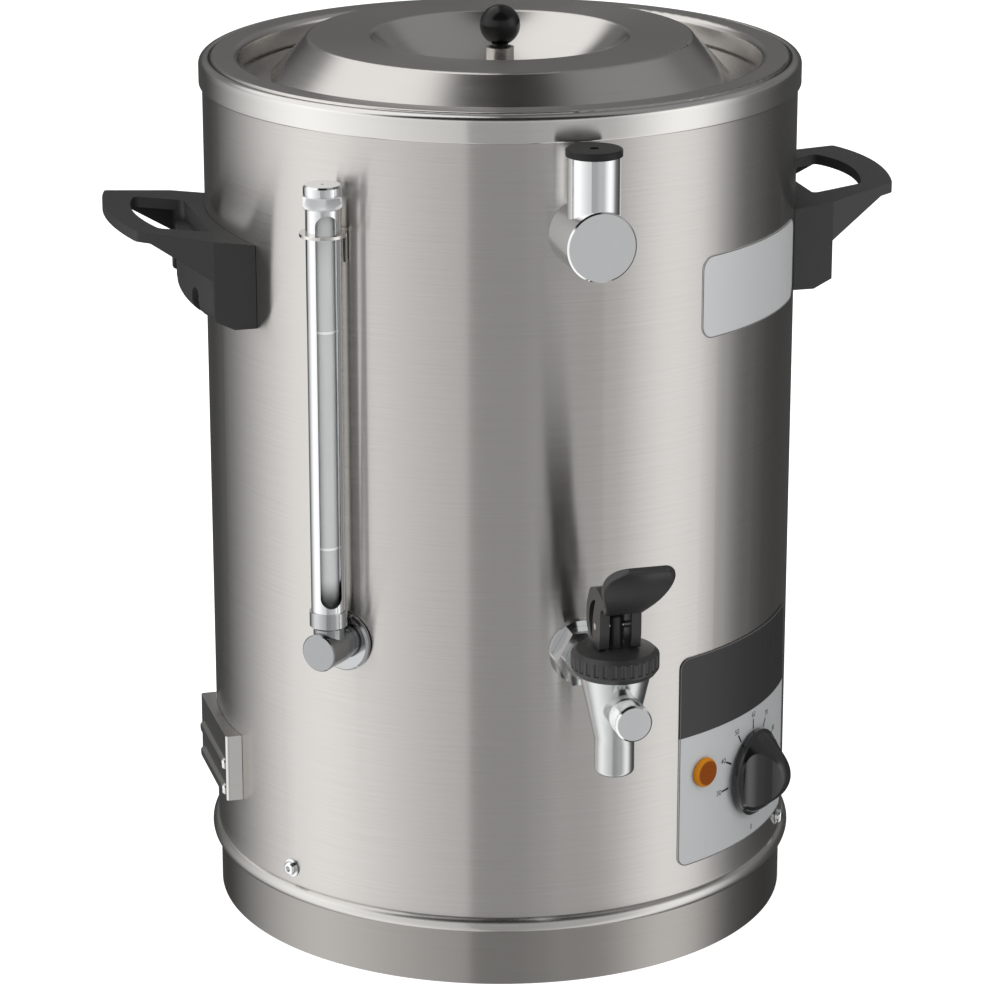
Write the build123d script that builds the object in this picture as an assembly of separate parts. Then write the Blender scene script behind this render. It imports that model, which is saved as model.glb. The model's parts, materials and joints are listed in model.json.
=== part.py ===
from build123d import *
import os
from math import asin, atan2, cos, pi, radians, sin, sqrt, tan

# Jacketed hot drinks urn. Origin at the centre of its base, Z up, tap towards -Y, handles on the X axis.
# Azimuth is counted from the tap (-Y) towards +X. All lengths are in millimetres.

# ---- body
shell_radius = 135.0
shell_sheet = 0.8
shell_bottom = 33.0
rim_height = 400.2
fit_gap = 0.1                    # between pieces that are slid together and then fixed
run_gap = 0.05                   # between a piece that turns or slides and what guides it
rest_gap = 0.3                   # under a piece that can be lifted or turned
clear_gap = 0.4                  # between pieces that only pass each other
past = 3.0                       # how far a cutting shape runs past the face that it opens

# ---- base
plinth_inset = 1.0               # plinth's wall inside the shell's face
plinth_sheet = 1.0
hem_width = 8.0                  # plinth's edge turned in under the base pan
bead_height = 7.4
bead_reach = 2.8                 # bead beyond the shell's face
upstand_height = 16.0
base_pan_sheet = 1.0
base_pan_rim = 12.0
base_screw_rise = 7.7            # above the shell's lower edge
base_screw_azimuths = (-60.0, 60.0, 180.0)
base_screw_radius = 1.9
base_screw_length = 7.0
base_screw_head = 3.3
base_screw_head_height = 2.2
base_screw_socket = 1.5
base_screw_washer = 4.2
washer_thick = 0.6

# ---- collar, seal and pot
collar_overhang = 1.5            # collar beyond the shell's face
collar_width = 4.6
collar_sheet = 1.0
collar_drop = 12.6
collar_below_rim = 0.6
collar_roundings = (0.7, 3.2, 0.9, 0.3)  # foot, outer and inner top edge, corner under the ledge
ledge_drop = 5.2                 # collar's inner ledge below the rim
ledge_width = 6.9
seal_base = 1.0
seal_lip = 0.6
seal_below_rim = 1.3
pot_sheet = 0.8
pot_flange = 13.0                # width of the flat rim
pot_lip_rounding = 3.0
pot_rim_rounding = 1.2           # flange's outer edge
pot_foot_rounding = 1.5          # wall's foot, where its hem turns in
pot_ledge_drop = 12.2
pot_ledge_width = 4.0
pot_floor_drop = 19.0            # floor's upper face below the tap's axis
pot_hem = 3.0                    # wall's foot turned in under the floor

# ---- jacket floor, heater and its protector
jacket_depth = 28.0              # jacket's floor below the pot's
jacket_sheet = 1.2
jacket_skirt = 9.0
heater_ring = 74.0
heater_tube = 4.2
heater_rise = 14.0               # ring's middle above the jacket's floor
heater_bend = 9.0
heater_half_gap = 16.0           # degrees, half of the gap between the ring's ends
heater_leg_below = 14.0          # legs' ends below the jacket's floor
heater_nut_flats = 16.0
heater_nut_thick = 6.0
cutout_radius = 9.0
cutout_depth = 10.0
cutout_place = (30.0, 45.0)
tab_thick = 0.8
tab_width = 6.3
tab_length = 8.0

# ---- lid
lid_sheet = 0.8
brim_clearance = 2.2             # between the lid's edge and the pot's mouth
brim_width = 11.0
cone_run = 17.6
cone_rise = 18.9
lid_flat_width = 29.0
dish_depth = 26.0
lid_rounding = 2.0
ball_radius = 9.2
ball_flat = 8.2                  # from the ball's centre to its flat underside
ball_neck = 1.8                  # short neck between the post and the ball
ball_neck_radius = 3.7
post_height = 20.2
post_radius = 6.3
post_bore = 5.0
post_foot = 3.5
lid_stud_radius = 2.5
lid_nut_flats = 8.0
lid_nut_thick = 4.0

# ---- handles
handle_half_width = 51.0
handle_tip_half_width = 40.0
handle_depth = 41.0              # from the shell to the grip's outer corners
handle_bow = 6.0                 # how far the grip's outer edge bows out between its corners
handle_top = 331.7               # grip's top face where it meets the shell
handle_rise = 0.14               # slope of the grip's top, outwards
handle_plate = 4.8
handle_wall = 4.0
handle_height = 39.2             # from the foot of the wall block to the grip's top
block_depth = 13.5
block_rounding = 7.0
block_below_top = 8.0            # ledge of the wall block inside the finger window
gusset_depth = 8.6               # side plates' reach below the grip
gusset_drop = 17.0
side_foot_rise = 4.3
tip_chamfer = 6.0
window_block_lap = 7.5           # window's inner edge behind the block's face, above its ledge
window_edge = 12.0               # grip left outside the window
window_side = 9.0                # grip left beside the window, at its corners
grip_rounding = 3.0              # corners of the window and of the grip's end, seen from above
handle_screw_turn = 8.6          # degrees each side of the handle's middle
handle_screw_rise = 8.5
handle_screw_radius = 2.0
handle_screw_length = 8.0
handle_screw_head = 3.5
handle_screw_head_height = 2.2
handle_cross = (4.2, 0.9)        # length and width of each arm of the cross recess
handle_channel_radius = 4.5
handle_channel_depth = 4.0
handle_boss_radius = 7.5
handle_nut_flats = 7.0
handle_nut_thick = 3.2

# ---- level gauge
gauge_azimuth = -46.0
gauge_height = 159.0
gauge_stand_off = 12.5           # glass's axis in front of the shell
gauge_face_reach = 8.6           # fitting's flat face in front of the glass's axis
gauge_body_radius = 8.5
gauge_body_step = 3.4
gauge_neck_radius = 6.8
gauge_shank_radius = 5.5
gauge_shank_length = 15.0
gauge_shank_bore = 2.8
gauge_nut_flats = 16.0
gauge_nut_thick = 5.0
rosette_radius = 13.8
rosette_thick = 2.6
ferrule_radius = 8.4
ferrule_rise = 10.3              # ferrule's foot above the fitting's axis
ferrule_height = 7.5
ferrule_web = 1.6
gauge_seal_thick = 2.0
shield_radius = 7.6
shield_wall = 1.1
shield_slot_half_angle = 39.0
slot_above_ferrule = 2.7
slot_length = 176.5
shield_slot_azimuth = 0.0
glass_radius = 5.0
glass_wall = 1.5
cap_above_slot = 2.2
cap_knurl_radius = 8.95
cap_band_height = 5.7
cap_top_height = 4.4
cap_cover = 6.4                  # how far the cap reaches over the shield
cap_vent = 0.6
clip_radius = 10.3
clip_below_slot = 10.0           # clip's underside below the top of the slot
clip_sheet = 1.4
clip_tab = 15.0
clip_tab_width = 9.0

# ---- vented filler
vent_height = 348.1
vent_face_reach = 28.0           # barrel's flat face in front of the shell
vent_radius = 15.25
vent_neck_radius = 9.0
vent_neck_length = 10.2
vent_bore = 7.4
vent_stand_off = 14.85           # upright tube's axis in front of the shell
vent_tube_radius = 11.3
vent_tube_bore = 9.6
vent_tube_rise = 36.5
vent_sump = 5.0
vent_nut_flats = 24.0
vent_nut_thick = 5.4
vent_cap_radius = 12.15
vent_cap_thick = 3.0
vent_plug_depth = 9.0
vent_hole = 2.0

# ---- tap
tap_reach = 51.5                 # tap's upright axis in front of the shell
tap_height = 159.0               # shank's axis
tap_shank_radius = 10.0
tap_arm_radius = 8.5
tap_shank_bore = 6.0
tap_shank_inside = 10.2          # shank's reach into the pot
tap_body_rise = 8.7
tap_body_radius = 15.5
tap_neck_radius = 14.4
tap_neck_height = 7.9
tap_chamber = 11.2
seat_drop = 7.5
seat_slope = 3.0
spout_radius = 8.7
spout_bore = 6.0
spout_start_drop = 21.6
spout_length = 15.6
bonnet_radius = 19.0
bonnet_height = 11.8
bonnet_shoulder = (7.5, 2.2, 1.0, 3.0)   # flat top's edge and cone's edge inward, cone's and shoulder's drop
bonnet_foot = (1.8, 2.6)         # lower edge drawn in, and its height
bonnet_roundings = (0.6, 1.2, 0.8, 1.2, 3.0)   # from the foot up to the flat top's edge
bonnet_flutes = 30
bonnet_flute_radius = 1.6
bonnet_flute_depth = 0.65
stem_radius = 3.2
stem_above_pin = 5.0
stem_flange = 1.5
pin_rise = 9.5                   # lever's pin above the bonnet
pin_radius = 1.5
cheek_inside = 4.9
cheek_outside = 9.2
lever_foot_gap = 0.5
lever_front = 7.6                # front and back of the cheeks from the pin
lever_back = 12.5
bridge_underside = 10.5          # above the pin
bridge_top = 18.2
slot_inset = 4.6                 # back band's width beside the cheeks' curved slot
lever_roundings = (3.0, 1.5, 6.0, 4.0, 0.5, 3.0, 5.0, 6.0, 6.0, 5.0)   # cheek's corners from the back foot on
paddle_root = (14.0, 14.7)       # start of the paddle's top face, forward of the pin and above it
paddle_angle = 41.7
paddle_length = 40.0
paddle_thick = 3.4
paddle_half_widths = (8.9, 10.2, 12.6, 14.8, 15.4, 13.6, 8.4)
paddle_bend = 1.1                # depth of its S curve
cup_radius = 8.0
cup_height = 8.0
cup_socket = 6.0
cup_plug = 1.2
spring_radius = 6.2
spring_wire = 0.6
spring_turns = 4
screw_drop = 4.9                 # thumb screw's axis below the shank's
screw_boss_radius = 8.0
screw_boss_reach = 18.5
screw_head_radius = 8.1
screw_head_length = 10.0
screw_shank_radius = 2.5
screw_shank_length = 8.5
tap_nut_flats = 24.0
tap_nut_thick = 9.0
tap_flange_radius = 14.5
tap_flange_thick = 1.6
sleeve_radius = 12.5
seal_radius = 12.8
seal_thick = 1.6
lock_nut_flats = 24.0
lock_nut_thick = 5.0

# ---- control panel
panel_from = 21.3                # azimuths of the panel's upright edges
panel_to = 62.0
panel_bottom = 45.8
panel_height = 100.6
panel_sheet = 0.5
panel_corner = 5.0
label_from = 25.4
label_to = 63.0
label_bottom = 292.8
label_height = 37.2
label_sheet = 0.3
label_corner = 6.0
lamp_azimuth = 27.64
lamp_drop = 22.9                 # lamp's axis below the jacket's floor
lamp_radius = 6.9
lamp_thick = 2.4
lamp_rounding = 1.6
lamp_neck = 2.0
lamp_body_radius = 5.2
lamp_socket_radius = 6.4
lamp_body_length = 26.0
knob_azimuth = 43.9
knob_drop = 34.4                 # knob's axis below the jacket's floor
knob_radius = 20.3
knob_skirt = 3.0
knob_depth = 18.0
knob_grip_radius = 18.9
knob_flank = (13.3, 10.1)        # point of the grip's curved side: radius, height over its back
knob_fin = 8.4                   # width of the fin's crest
knob_scoop_radius = 14.0
knob_bore_depth = 12.0
spindle_radius = 3.0
spindle_socket = 18.0            # spindle's length inside the thermostat
thermostat_width = 36.0
thermostat_depth = 26.0
thermostat_setback = 6.2         # body behind the shell's inside
thermostat_bush = 5.0
thermostat_corner = 4.0
bulb_radius = 3.0
bulb_rise = 22.0
bulb_place = (52.0, -28.0)
bulb_gland = (6.0, 5.0)          # gland's radius and height
capillary_radius = 0.9
capillary_lead = 14.0
capillary_bend = 6.0

# ---- mains connection
bush_azimuth = 180.0
cover_azimuth = -90.0
cover_depth = 4.3
cover_half_length = 29.7
cover_bottom = 60.9
cover_height = 31.7
cover_sheet = 0.8
cover_corner = 1.6
cover_reach = 20.0               # sides' depth before they are cut to the shell
cover_rib_rises = (3.9, 16.5)    # ribs' heights above the cover's lower edge
cover_rib_size = (54.0, 5.4, 1.3)
bush_height = 72.0
bush_radius = 8.0
bush_neck_radius = 6.0
bush_flange = 1.5
bush_neck_length = 2.5
bush_hole = 4.0
block_size = (26.0, 14.0, 14.0)
block_setback = 22.0
block_drop = 20.0
block_hole = 1.8

# ---- sizes and places that follow
shell_inside = shell_radius - shell_sheet
plinth_radius = shell_radius - plinth_inset
bead_bottom = shell_bottom - bead_height
base_screw_height = shell_bottom + base_screw_rise
collar_outside = shell_radius + collar_overhang
collar_inside = collar_outside - collar_width
ledge_inside = collar_inside - ledge_width
ledge_height = rim_height - ledge_drop
pot_edge = collar_inside - run_gap - seal_lip - run_gap
pot_mouth = pot_edge - pot_flange
pot_wall = pot_mouth - pot_ledge_width
pot_ledge = rim_height - pot_ledge_drop
pot_floor = tap_height - pot_floor_drop
jacket_floor = pot_floor - jacket_depth
heater_height = jacket_floor + heater_rise
lamp_height = jacket_floor - lamp_drop
knob_height = jacket_floor - knob_drop
brim_radius = pot_mouth - brim_clearance
brim_height = pot_ledge + lid_sheet + rest_gap
cone_foot = brim_radius - brim_width
lid_top_radius = cone_foot - cone_run
lid_height = brim_height + cone_rise
dish_rim = lid_top_radius - lid_flat_width
dish_floor = lid_height - dish_depth
dish_sphere = (dish_rim ** 2 + dish_depth ** 2) / (2 * dish_depth)
post_top = dish_floor + post_height
ball_centre = post_top + ball_neck + ball_flat
handle_tip = shell_radius + handle_depth
handle_reach = handle_tip + handle_bow
handle_foot = handle_top - handle_height
handle_block = shell_radius + block_depth
handle_gusset = shell_radius + gusset_depth
handle_gusset_top = handle_top - gusset_drop
handle_side_foot = handle_foot + side_foot_rise
handle_screw_height = handle_foot + handle_screw_rise
gauge_axis = shell_radius + gauge_stand_off
ferrule_bottom = gauge_height + ferrule_rise
ferrule_top = ferrule_bottom + ferrule_height
slot_bottom = ferrule_top + slot_above_ferrule
slot_top = slot_bottom + slot_length
cap_bottom = slot_top + cap_above_slot
cap_band_top = cap_bottom + cap_band_height
cap_top = cap_band_top + cap_top_height
shield_top = cap_bottom + cap_cover - 4 * fit_gap
clip_height = slot_top - clip_below_slot
vent_face = shell_radius + vent_face_reach
vent_tube_axis = shell_radius + vent_stand_off
vent_tube_top = vent_height + vent_tube_rise
tap_axis = shell_radius + tap_reach
tap_shank_start = pot_wall - tap_shank_inside
tap_body_top = tap_height + tap_body_rise
tap_neck_top = tap_body_top + tap_neck_height
tap_seat = tap_height - seat_drop
spout_start = tap_height - spout_start_drop
spout_end = spout_start - spout_length
bonnet_top = tap_body_top + bonnet_height
pin_height = bonnet_top + pin_rise
stem_top = pin_height + stem_above_pin
cup_top = tap_seat + cup_height
stem_bottom = cup_top - cup_socket
screw_height = tap_height - screw_drop
screw_boss_end = tap_axis + screw_boss_reach
panel_top = panel_bottom + panel_height
label_top = label_bottom + label_height
knob_back = shell_radius + panel_sheet + clear_gap
thermostat_face = shell_inside - thermostat_setback
thermostat_back = thermostat_face - thermostat_depth
cover_face = shell_radius + cover_depth
cover_top = cover_bottom + cover_height


# ---------------------------------------------------------------- helpers
def ring(outer, inner, bottom, top):
    """Upright tube about the urn's axis."""
    height = top - bottom
    return Pos(0, 0, bottom + height / 2) * (Cylinder(outer, height) - Cylinder(inner, height + past))


def disc(radius, bottom, top, x=0.0, y=0.0):
    """Upright cylinder at x, y."""
    return Pos(x, y, (bottom + top) / 2) * Cylinder(radius, top - bottom)


def spoke(radius, start, end, height):
    """Cylinder that points outwards at the tap's azimuth, between two distances from the axis."""
    return Pos(0, -(start + end) / 2, height) * Rot(90, 0, 0) * Cylinder(radius, end - start)


def hexagon(flats, start, end, height, hole):
    """Hexagon nut that points outwards at the tap's azimuth."""
    face = RegularPolygon(flats / 2, 6, major_radius=False) - Circle(hole)
    return Pos(0, -start, height) * Rot(90, 0, 0) * extrude(face, end - start)


def turned(corners, roundings=None):
    """Solid of revolution about Z through corners (radius, height), each with its own rounding."""
    if roundings is None:
        outline = Polyline(*corners, close=True)
    else:
        outline = FilletPolyline(*corners, radius=roundings, close=True)
    return revolve(Plane.XZ * make_face(outline), Axis.Z)


def outer_edge(part):
    """Edge of a spoke that lies furthest out."""
    return part.edges().sort_by(Axis.Y)[0]


def at_azimuth(part, azimuth):
    """Turn a part modelled at the tap's azimuth to its own."""
    return Rot(0, 0, azimuth) * part


def inside_shell(height, reach):
    """Everything within the shell's outer face, near a height: what lies on the shell is cut to it."""
    return disc(shell_radius + fit_gap, height - reach, height + reach)


def wrapped_plate(azimuth_from, azimuth_to, bottom, top, sheet, corner):
    """Thin plate with rounded corners that lies round the shell."""
    middle = (azimuth_from + azimuth_to) / 2
    half_width = (shell_radius + sheet) * sin(radians((azimuth_to - azimuth_from) / 2))
    skin = ring(shell_radius + fit_gap / 2 + sheet, shell_radius + fit_gap / 2, bottom - past, top + past)
    stamp = extrude(RectangleRounded(2 * half_width, top - bottom, corner), 2 * shell_radius)
    return at_azimuth(skin & (Pos(0, 0, (bottom + top) / 2) * Rot(90, 0, 0) * stamp), middle)


def save(part, name):
    part.label = name
    export_step(part, f"parts/{name}.step")


def group(parts):
    """Separate solids of one node."""
    return Compound(children=[solid for part in parts for solid in part.solids()])


# ---------------------------------------------------------------- body and base
def make_plinth():
    """Standing ring with a hem at its foot, a rolled bead and an upstand inside the shell."""
    bead_radius = shell_radius + bead_reach
    bead_middle = (bead_bottom + shell_bottom) / 2
    inner = plinth_radius - plinth_sheet
    stand = shell_inside - fit_gap
    hem = plinth_radius - hem_width
    upstand_top = shell_bottom + upstand_height
    outer_wall = Polyline((hem, 0), (plinth_radius, 0), (plinth_radius, bead_bottom))
    outer_bead = ThreePointArc((plinth_radius, bead_bottom), (bead_radius, bead_middle),
                               (shell_radius, shell_bottom))
    top = Polyline((shell_radius, shell_bottom), (stand, shell_bottom), (stand, upstand_top),
                   (stand - plinth_sheet, upstand_top), (stand - plinth_sheet, shell_bottom - plinth_sheet))
    inner_bead = ThreePointArc((stand - plinth_sheet, shell_bottom - plinth_sheet),
                               (bead_radius - plinth_sheet, bead_middle), (inner, bead_bottom))
    inner_wall = Polyline((inner, bead_bottom), (inner, plinth_sheet), (hem, plinth_sheet), (hem, 0))
    profile = make_face(Curve() + [outer_wall, outer_bead, top, inner_bead, inner_wall])
    plinth = revolve(Plane.XZ * profile, Axis.Z)
    for azimuth in base_screw_azimuths:
        hole = spoke(base_screw_radius + fit_gap, stand - base_screw_length, stand + past, base_screw_height)
        plinth -= at_azimuth(hole, azimuth)
    return plinth


def make_base_pan():
    """Flat pan that closes the base: it lies inside the plinth's hem and steps up over it to a short rim."""
    flat = plinth_radius - hem_width - fit_gap
    outside = plinth_radius - plinth_sheet - fit_gap
    step = plinth_sheet + fit_gap
    sheet = base_pan_sheet
    return turned([(0, 0), (flat, 0), (flat, step), (outside, step), (outside, base_pan_rim),
                   (outside - sheet, base_pan_rim), (outside - sheet, step + sheet),
                   (flat - sheet, step + sheet), (flat - sheet, sheet), (0, sheet)])


def make_base_screws():
    """Pan-head screws with their washers, through shell and upstand."""
    seat = shell_radius + fit_gap
    washer_end = seat + washer_thick
    head_end = washer_end + base_screw_head_height
    head = spoke(base_screw_head, washer_end, head_end, base_screw_height)
    screw = fillet(outer_edge(head), 0.6 * base_screw_head_height)
    screw += spoke(base_screw_washer, seat, washer_end, base_screw_height)
    screw += spoke(base_screw_radius, washer_end - base_screw_length, washer_end, base_screw_height)
    socket = extrude(RegularPolygon(base_screw_socket, 6), past)
    screw -= Pos(0, -(washer_end + base_screw_head_height / 2), base_screw_height) * Rot(90, 0, 0) * socket
    return group([at_azimuth(screw, azimuth) for azimuth in base_screw_azimuths])


def make_shell():
    """Outer shell, a plain cylinder pierced for everything that passes through it."""
    shell = ring(shell_radius, shell_inside, shell_bottom, collar_channel() - clear_gap)

    def pierce(radius, height, azimuth):
        return at_azimuth(spoke(radius + fit_gap, shell_inside - past, shell_radius + past, height), azimuth)

    shell -= pierce(tap_shank_radius, tap_height, 0)
    shell -= pierce(vent_neck_radius, vent_height, 0)
    shell -= pierce(gauge_shank_radius, gauge_height, gauge_azimuth)
    shell -= pierce(lamp_body_radius, lamp_height, lamp_azimuth)
    shell -= pierce(thermostat_bush, knob_height, knob_azimuth)
    shell -= pierce(bush_neck_radius, bush_height, bush_azimuth)
    for azimuth in base_screw_azimuths:
        shell -= pierce(base_screw_radius, base_screw_height, azimuth)
    for azimuth in handle_screw_azimuths():
        shell -= pierce(handle_screw_radius, handle_screw_height, azimuth)
    return shell


def collar_channel():
    """Height of the inside of the collar's channel, over the shell's edge."""
    return rim_height - collar_below_rim - 1.2 * collar_sheet


def make_collar():
    """Rolled top ring: a channel over the shell's edge, with a ledge inside that carries the pot."""
    top = rim_height - collar_below_rim
    foot = rim_height - collar_drop
    inner_leg = collar_inside + collar_sheet
    corners = [(collar_outside, foot), (collar_outside, top), (collar_inside, top),
               (collar_inside, ledge_height), (ledge_inside, ledge_height),
               (ledge_inside, ledge_height - collar_sheet), (inner_leg, ledge_height - collar_sheet),
               (inner_leg, collar_channel()), (shell_radius + run_gap, collar_channel()),
               (shell_radius + run_gap, foot)]
    edge, shoulder, lip, fold = collar_roundings
    return turned(corners, [edge, shoulder, lip, 0, 0, 0, fold, 0, 0, 0])


def make_pot_seal():
    """Black seal on the collar's ledge, with an upright lip round the pot's flange."""
    base = ledge_height + seal_base
    outside = collar_inside - run_gap
    inside = ledge_inside + seal_base
    top = rim_height - seal_below_rim
    return turned([(inside, ledge_height), (outside, ledge_height), (outside, top),
                   (outside - seal_lip, top), (outside - seal_lip, base), (inside, base)])


def make_inner_pot():
    """Pot's wall: flat flange, rounded lip, ledge for the lid, straight wall and a hem under the floor."""
    foot = ledge_height + seal_base
    hem_height = pot_floor - pot_sheet
    path = FilletPolyline((pot_edge, foot), (pot_edge, rim_height), (pot_mouth, rim_height),
                          (pot_mouth, pot_ledge), (pot_wall, pot_ledge), (pot_wall, hem_height),
                          (pot_wall - pot_hem, hem_height),
                          radius=[pot_rim_rounding, pot_lip_rounding, 0.0, pot_foot_rounding, 0.0])
    skin = make_face(offset(path, amount=pot_sheet, side=Side.LEFT))
    pot = revolve(Plane.XZ * skin, Axis.Z)
    return pot - spoke(tap_shank_radius + fit_gap, pot_wall - past, pot_wall + past, tap_height)


def make_pot_floor():
    """Flat floor of the pot, welded in on the wall's hem."""
    return disc(pot_wall - fit_gap, pot_floor - pot_sheet, pot_floor)


def make_jacket_floor():
    """Floor of the water jacket, with a skirt welded to the shell."""
    outside = shell_inside - run_gap
    inside = outside - jacket_sheet
    skirt = jacket_floor - jacket_skirt
    top = jacket_floor + jacket_sheet
    floor = turned([(0, jacket_floor), (inside, jacket_floor), (inside, skirt), (outside, skirt),
                    (outside, top), (0, top)])
    for x, y in heater_legs():
        floor -= disc(heater_tube + fit_gap, jacket_floor - past, top + past, x, y)
    x, y = bulb_place
    return floor - disc(bulb_radius + fit_gap, jacket_floor - past, top + past, x, y)


# ---------------------------------------------------------------- heater and controls inside
def heater_ends():
    """The ring's two ends, with the direction in which each end bends away."""
    ends = []
    for side in (-1, 1):
        turn = radians(90 + side * heater_half_gap)
        point = Vector(heater_ring * cos(turn), heater_ring * sin(turn), heater_height)
        away = Vector(side * sin(turn), -side * cos(turn), 0)
        ends.append((point, away))
    return ends


def heater_legs():
    return [tuple(point + away * heater_bend)[:2] for point, away in heater_ends()]


def make_heater():
    """Tubular heating element: an open ring whose two ends bend down through the jacket floor."""
    (first, first_away), (last, last_away) = heater_ends()

    def bend(point, away):
        middle = point + away * (heater_bend * sin(radians(45))) - Vector(
            0, 0, heater_bend * (1 - cos(radians(45))))
        return middle, point + away * heater_bend - Vector(0, 0, heater_bend)

    middle, foot = bend(first, first_away)
    last_middle, last_foot = bend(last, last_away)
    leg = Vector(0, 0, heater_rise - heater_bend + heater_leg_below)
    ring_arc = ThreePointArc(first, Vector(0, -heater_ring, heater_height), last)
    path = Curve() + [Line(foot - leg, foot), ThreePointArc(foot, middle, first), ring_arc,
                      ThreePointArc(last, last_middle, last_foot), Line(last_foot, last_foot - leg)]
    start = Plane(origin=foot - leg, z_dir=(0, 0, 1))
    return sweep(start * Circle(heater_tube), path=path)


def make_heater_nuts():
    hole = Circle(heater_tube + run_gap)
    nut = extrude(RegularPolygon(heater_nut_flats / 2, 6, major_radius=False) - hole, heater_nut_thick)
    return group([Pos(x, y, jacket_floor - heater_nut_thick) * nut for x, y in heater_legs()])


def make_thermal_cutout():
    """Boil-dry protector on the underside of the jacket floor, with its two tabs."""
    x, y = cutout_place
    body = disc(cutout_radius, jacket_floor - cutout_depth, jacket_floor, x, y)
    for side in (-1, 1):
        body += Pos(x + side * cutout_radius / 2, y, jacket_floor - cutout_depth - tab_length / 2) * Box(
            tab_thick, tab_width, tab_length)
    return body


def make_thermostat():
    """Capillary thermostat with a threaded bush in the shell and a bore for its spindle."""
    middle = (thermostat_back + thermostat_face) / 2
    body = Pos(0, -middle, knob_height) * Box(thermostat_width, thermostat_depth, thermostat_width)
    body = fillet(body.edges().filter_by(Axis.Y), thermostat_corner)
    body += spoke(thermostat_bush, thermostat_face, shell_radius, knob_height)
    socket_end = thermostat_face - spindle_socket
    body -= spoke(spindle_radius + run_gap, socket_end, shell_radius + past, knob_height)
    return at_azimuth(body, knob_azimuth)


def make_spindle():
    spindle = spoke(spindle_radius, thermostat_face - spindle_socket + rest_gap,
                    knob_back + knob_bore_depth - fit_gap, knob_height)
    return at_azimuth(spindle, knob_azimuth)


def make_knob():
    """Knob with a round skirt and a domed grip that two scoops narrow to an upright fin."""
    flank_radius, flank_rise = knob_flank
    dome = Spline((knob_grip_radius, knob_skirt), (flank_radius, flank_rise), (0, knob_depth),
                  tangents=[(-0.5, 1), (-1, 0)])
    base = Polyline((0, knob_depth), (0, 0), (knob_radius, 0), (knob_radius, knob_skirt - 0.8),
                    (knob_radius - 0.8, knob_skirt), (knob_grip_radius, knob_skirt))
    knob = revolve(Plane.XZ * make_face(Curve() + [dome, base]), Axis.Z)
    for side in (-1, 1):
        scoop = Rot(90, 0, 0) * Cylinder(knob_scoop_radius, 2 * knob_radius + past)
        knob -= Pos(side * (knob_fin / 2 + knob_scoop_radius), 0, knob_depth) * scoop
    knob = Pos(0, -knob_back, knob_height) * Rot(90, 0, 0) * knob
    knob -= spoke(spindle_radius + run_gap, knob_back - past, knob_back + knob_bore_depth, knob_height)
    return at_azimuth(knob, knob_azimuth)


def make_capillary():
    """Thin tube from the thermostat's back to the gland of its bulb."""
    turn = radians(knob_azimuth)
    start = Vector(thermostat_back * sin(turn), -thermostat_back * cos(turn), knob_height)
    inward = Vector(-sin(turn), cos(turn), 0)
    x, y = bulb_place
    end = Vector(x, y, jacket_floor - bulb_gland[0])
    path = FilletPolyline(start, start + inward * capillary_lead, Vector(x, y, knob_height), end,
                          radius=capillary_bend)
    return sweep(Plane(origin=start, z_dir=inward) * Circle(capillary_radius), path=path)


def make_bulb():
    """Thermostat bulb upright in the water jacket's floor, with its gland below."""
    x, y = bulb_place
    gland_radius, gland_height = bulb_gland
    bulb = disc(bulb_radius, jacket_floor - gland_radius, jacket_floor + bulb_rise, x, y)
    bulb = fillet(bulb.edges().sort_by(Axis.Z)[-1], 0.8 * bulb_radius)
    return bulb + disc(gland_radius, jacket_floor - gland_height, jacket_floor - run_gap, x, y)


# ---------------------------------------------------------------- lid
def make_lid():
    """Pressed lid: flat brim, cone, flat top and a deep round dish for the knob."""
    half = asin(dish_rim / dish_sphere) / 2
    centre_height = dish_floor + dish_sphere
    under = dish_sphere + lid_sheet
    under_top = lid_height - lid_sheet
    under_rim = sqrt(under ** 2 - (centre_height - under_top) ** 2)
    inset = lid_sheet * tan(atan2(cone_rise, cone_run) / 2)
    top_path = Polyline((brim_radius, brim_height), (cone_foot, brim_height), (lid_top_radius, lid_height),
                        (dish_rim, lid_height))
    dish = ThreePointArc((dish_rim, lid_height),
                         (dish_sphere * sin(half), centre_height - dish_sphere * cos(half)), (0, dish_floor))
    centre = Polyline((0, dish_floor), (0, dish_floor - lid_sheet))
    under_dish = ThreePointArc((0, dish_floor - lid_sheet),
                               (under * sin(half), centre_height - under * cos(half)), (under_rim, under_top))
    brim_under = brim_height - lid_sheet
    under_path = Polyline((under_rim, under_top), (lid_top_radius - inset, under_top),
                          (cone_foot - inset, brim_under), (brim_radius, brim_under),
                          (brim_radius, brim_height))
    lid = revolve(Plane.XZ * make_face(Curve() + [top_path, dish, centre, under_dish, under_path]), Axis.Z)
    shoulders = [edge for edge in lid.edges().filter_by(GeomType.CIRCLE)
                 if min(abs(edge.radius - dish_rim), abs(edge.radius - lid_top_radius)) < run_gap]
    lid = fillet(shoulders, lid_rounding)
    return lid - disc(lid_stud_radius + fit_gap, dish_floor - past, dish_floor + past)


def make_lid_knob():
    """Ball knob with a flat underside and a short neck, bored for the stud."""
    flat = ball_centre - ball_flat
    ball = Pos(0, 0, ball_centre) * Sphere(ball_radius)
    ball &= disc(2 * ball_radius, flat, ball_centre + 2 * ball_radius)
    neck = disc(ball_neck_radius, post_top + run_gap, flat)
    return ball + neck - disc(lid_stud_radius, post_top - past, ball_centre)


def make_lid_post():
    """Tube that the ball stands on, with its solid foot shaped to the lid's dish."""
    post = disc(post_radius, dish_floor, post_top) - disc(post_bore, dish_floor + post_foot, post_top + past)
    post -= disc(lid_stud_radius + run_gap, dish_floor - past, dish_floor + post_foot + past)
    return post & (Pos(0, 0, dish_floor + dish_sphere) * Sphere(dish_sphere - run_gap))


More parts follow.
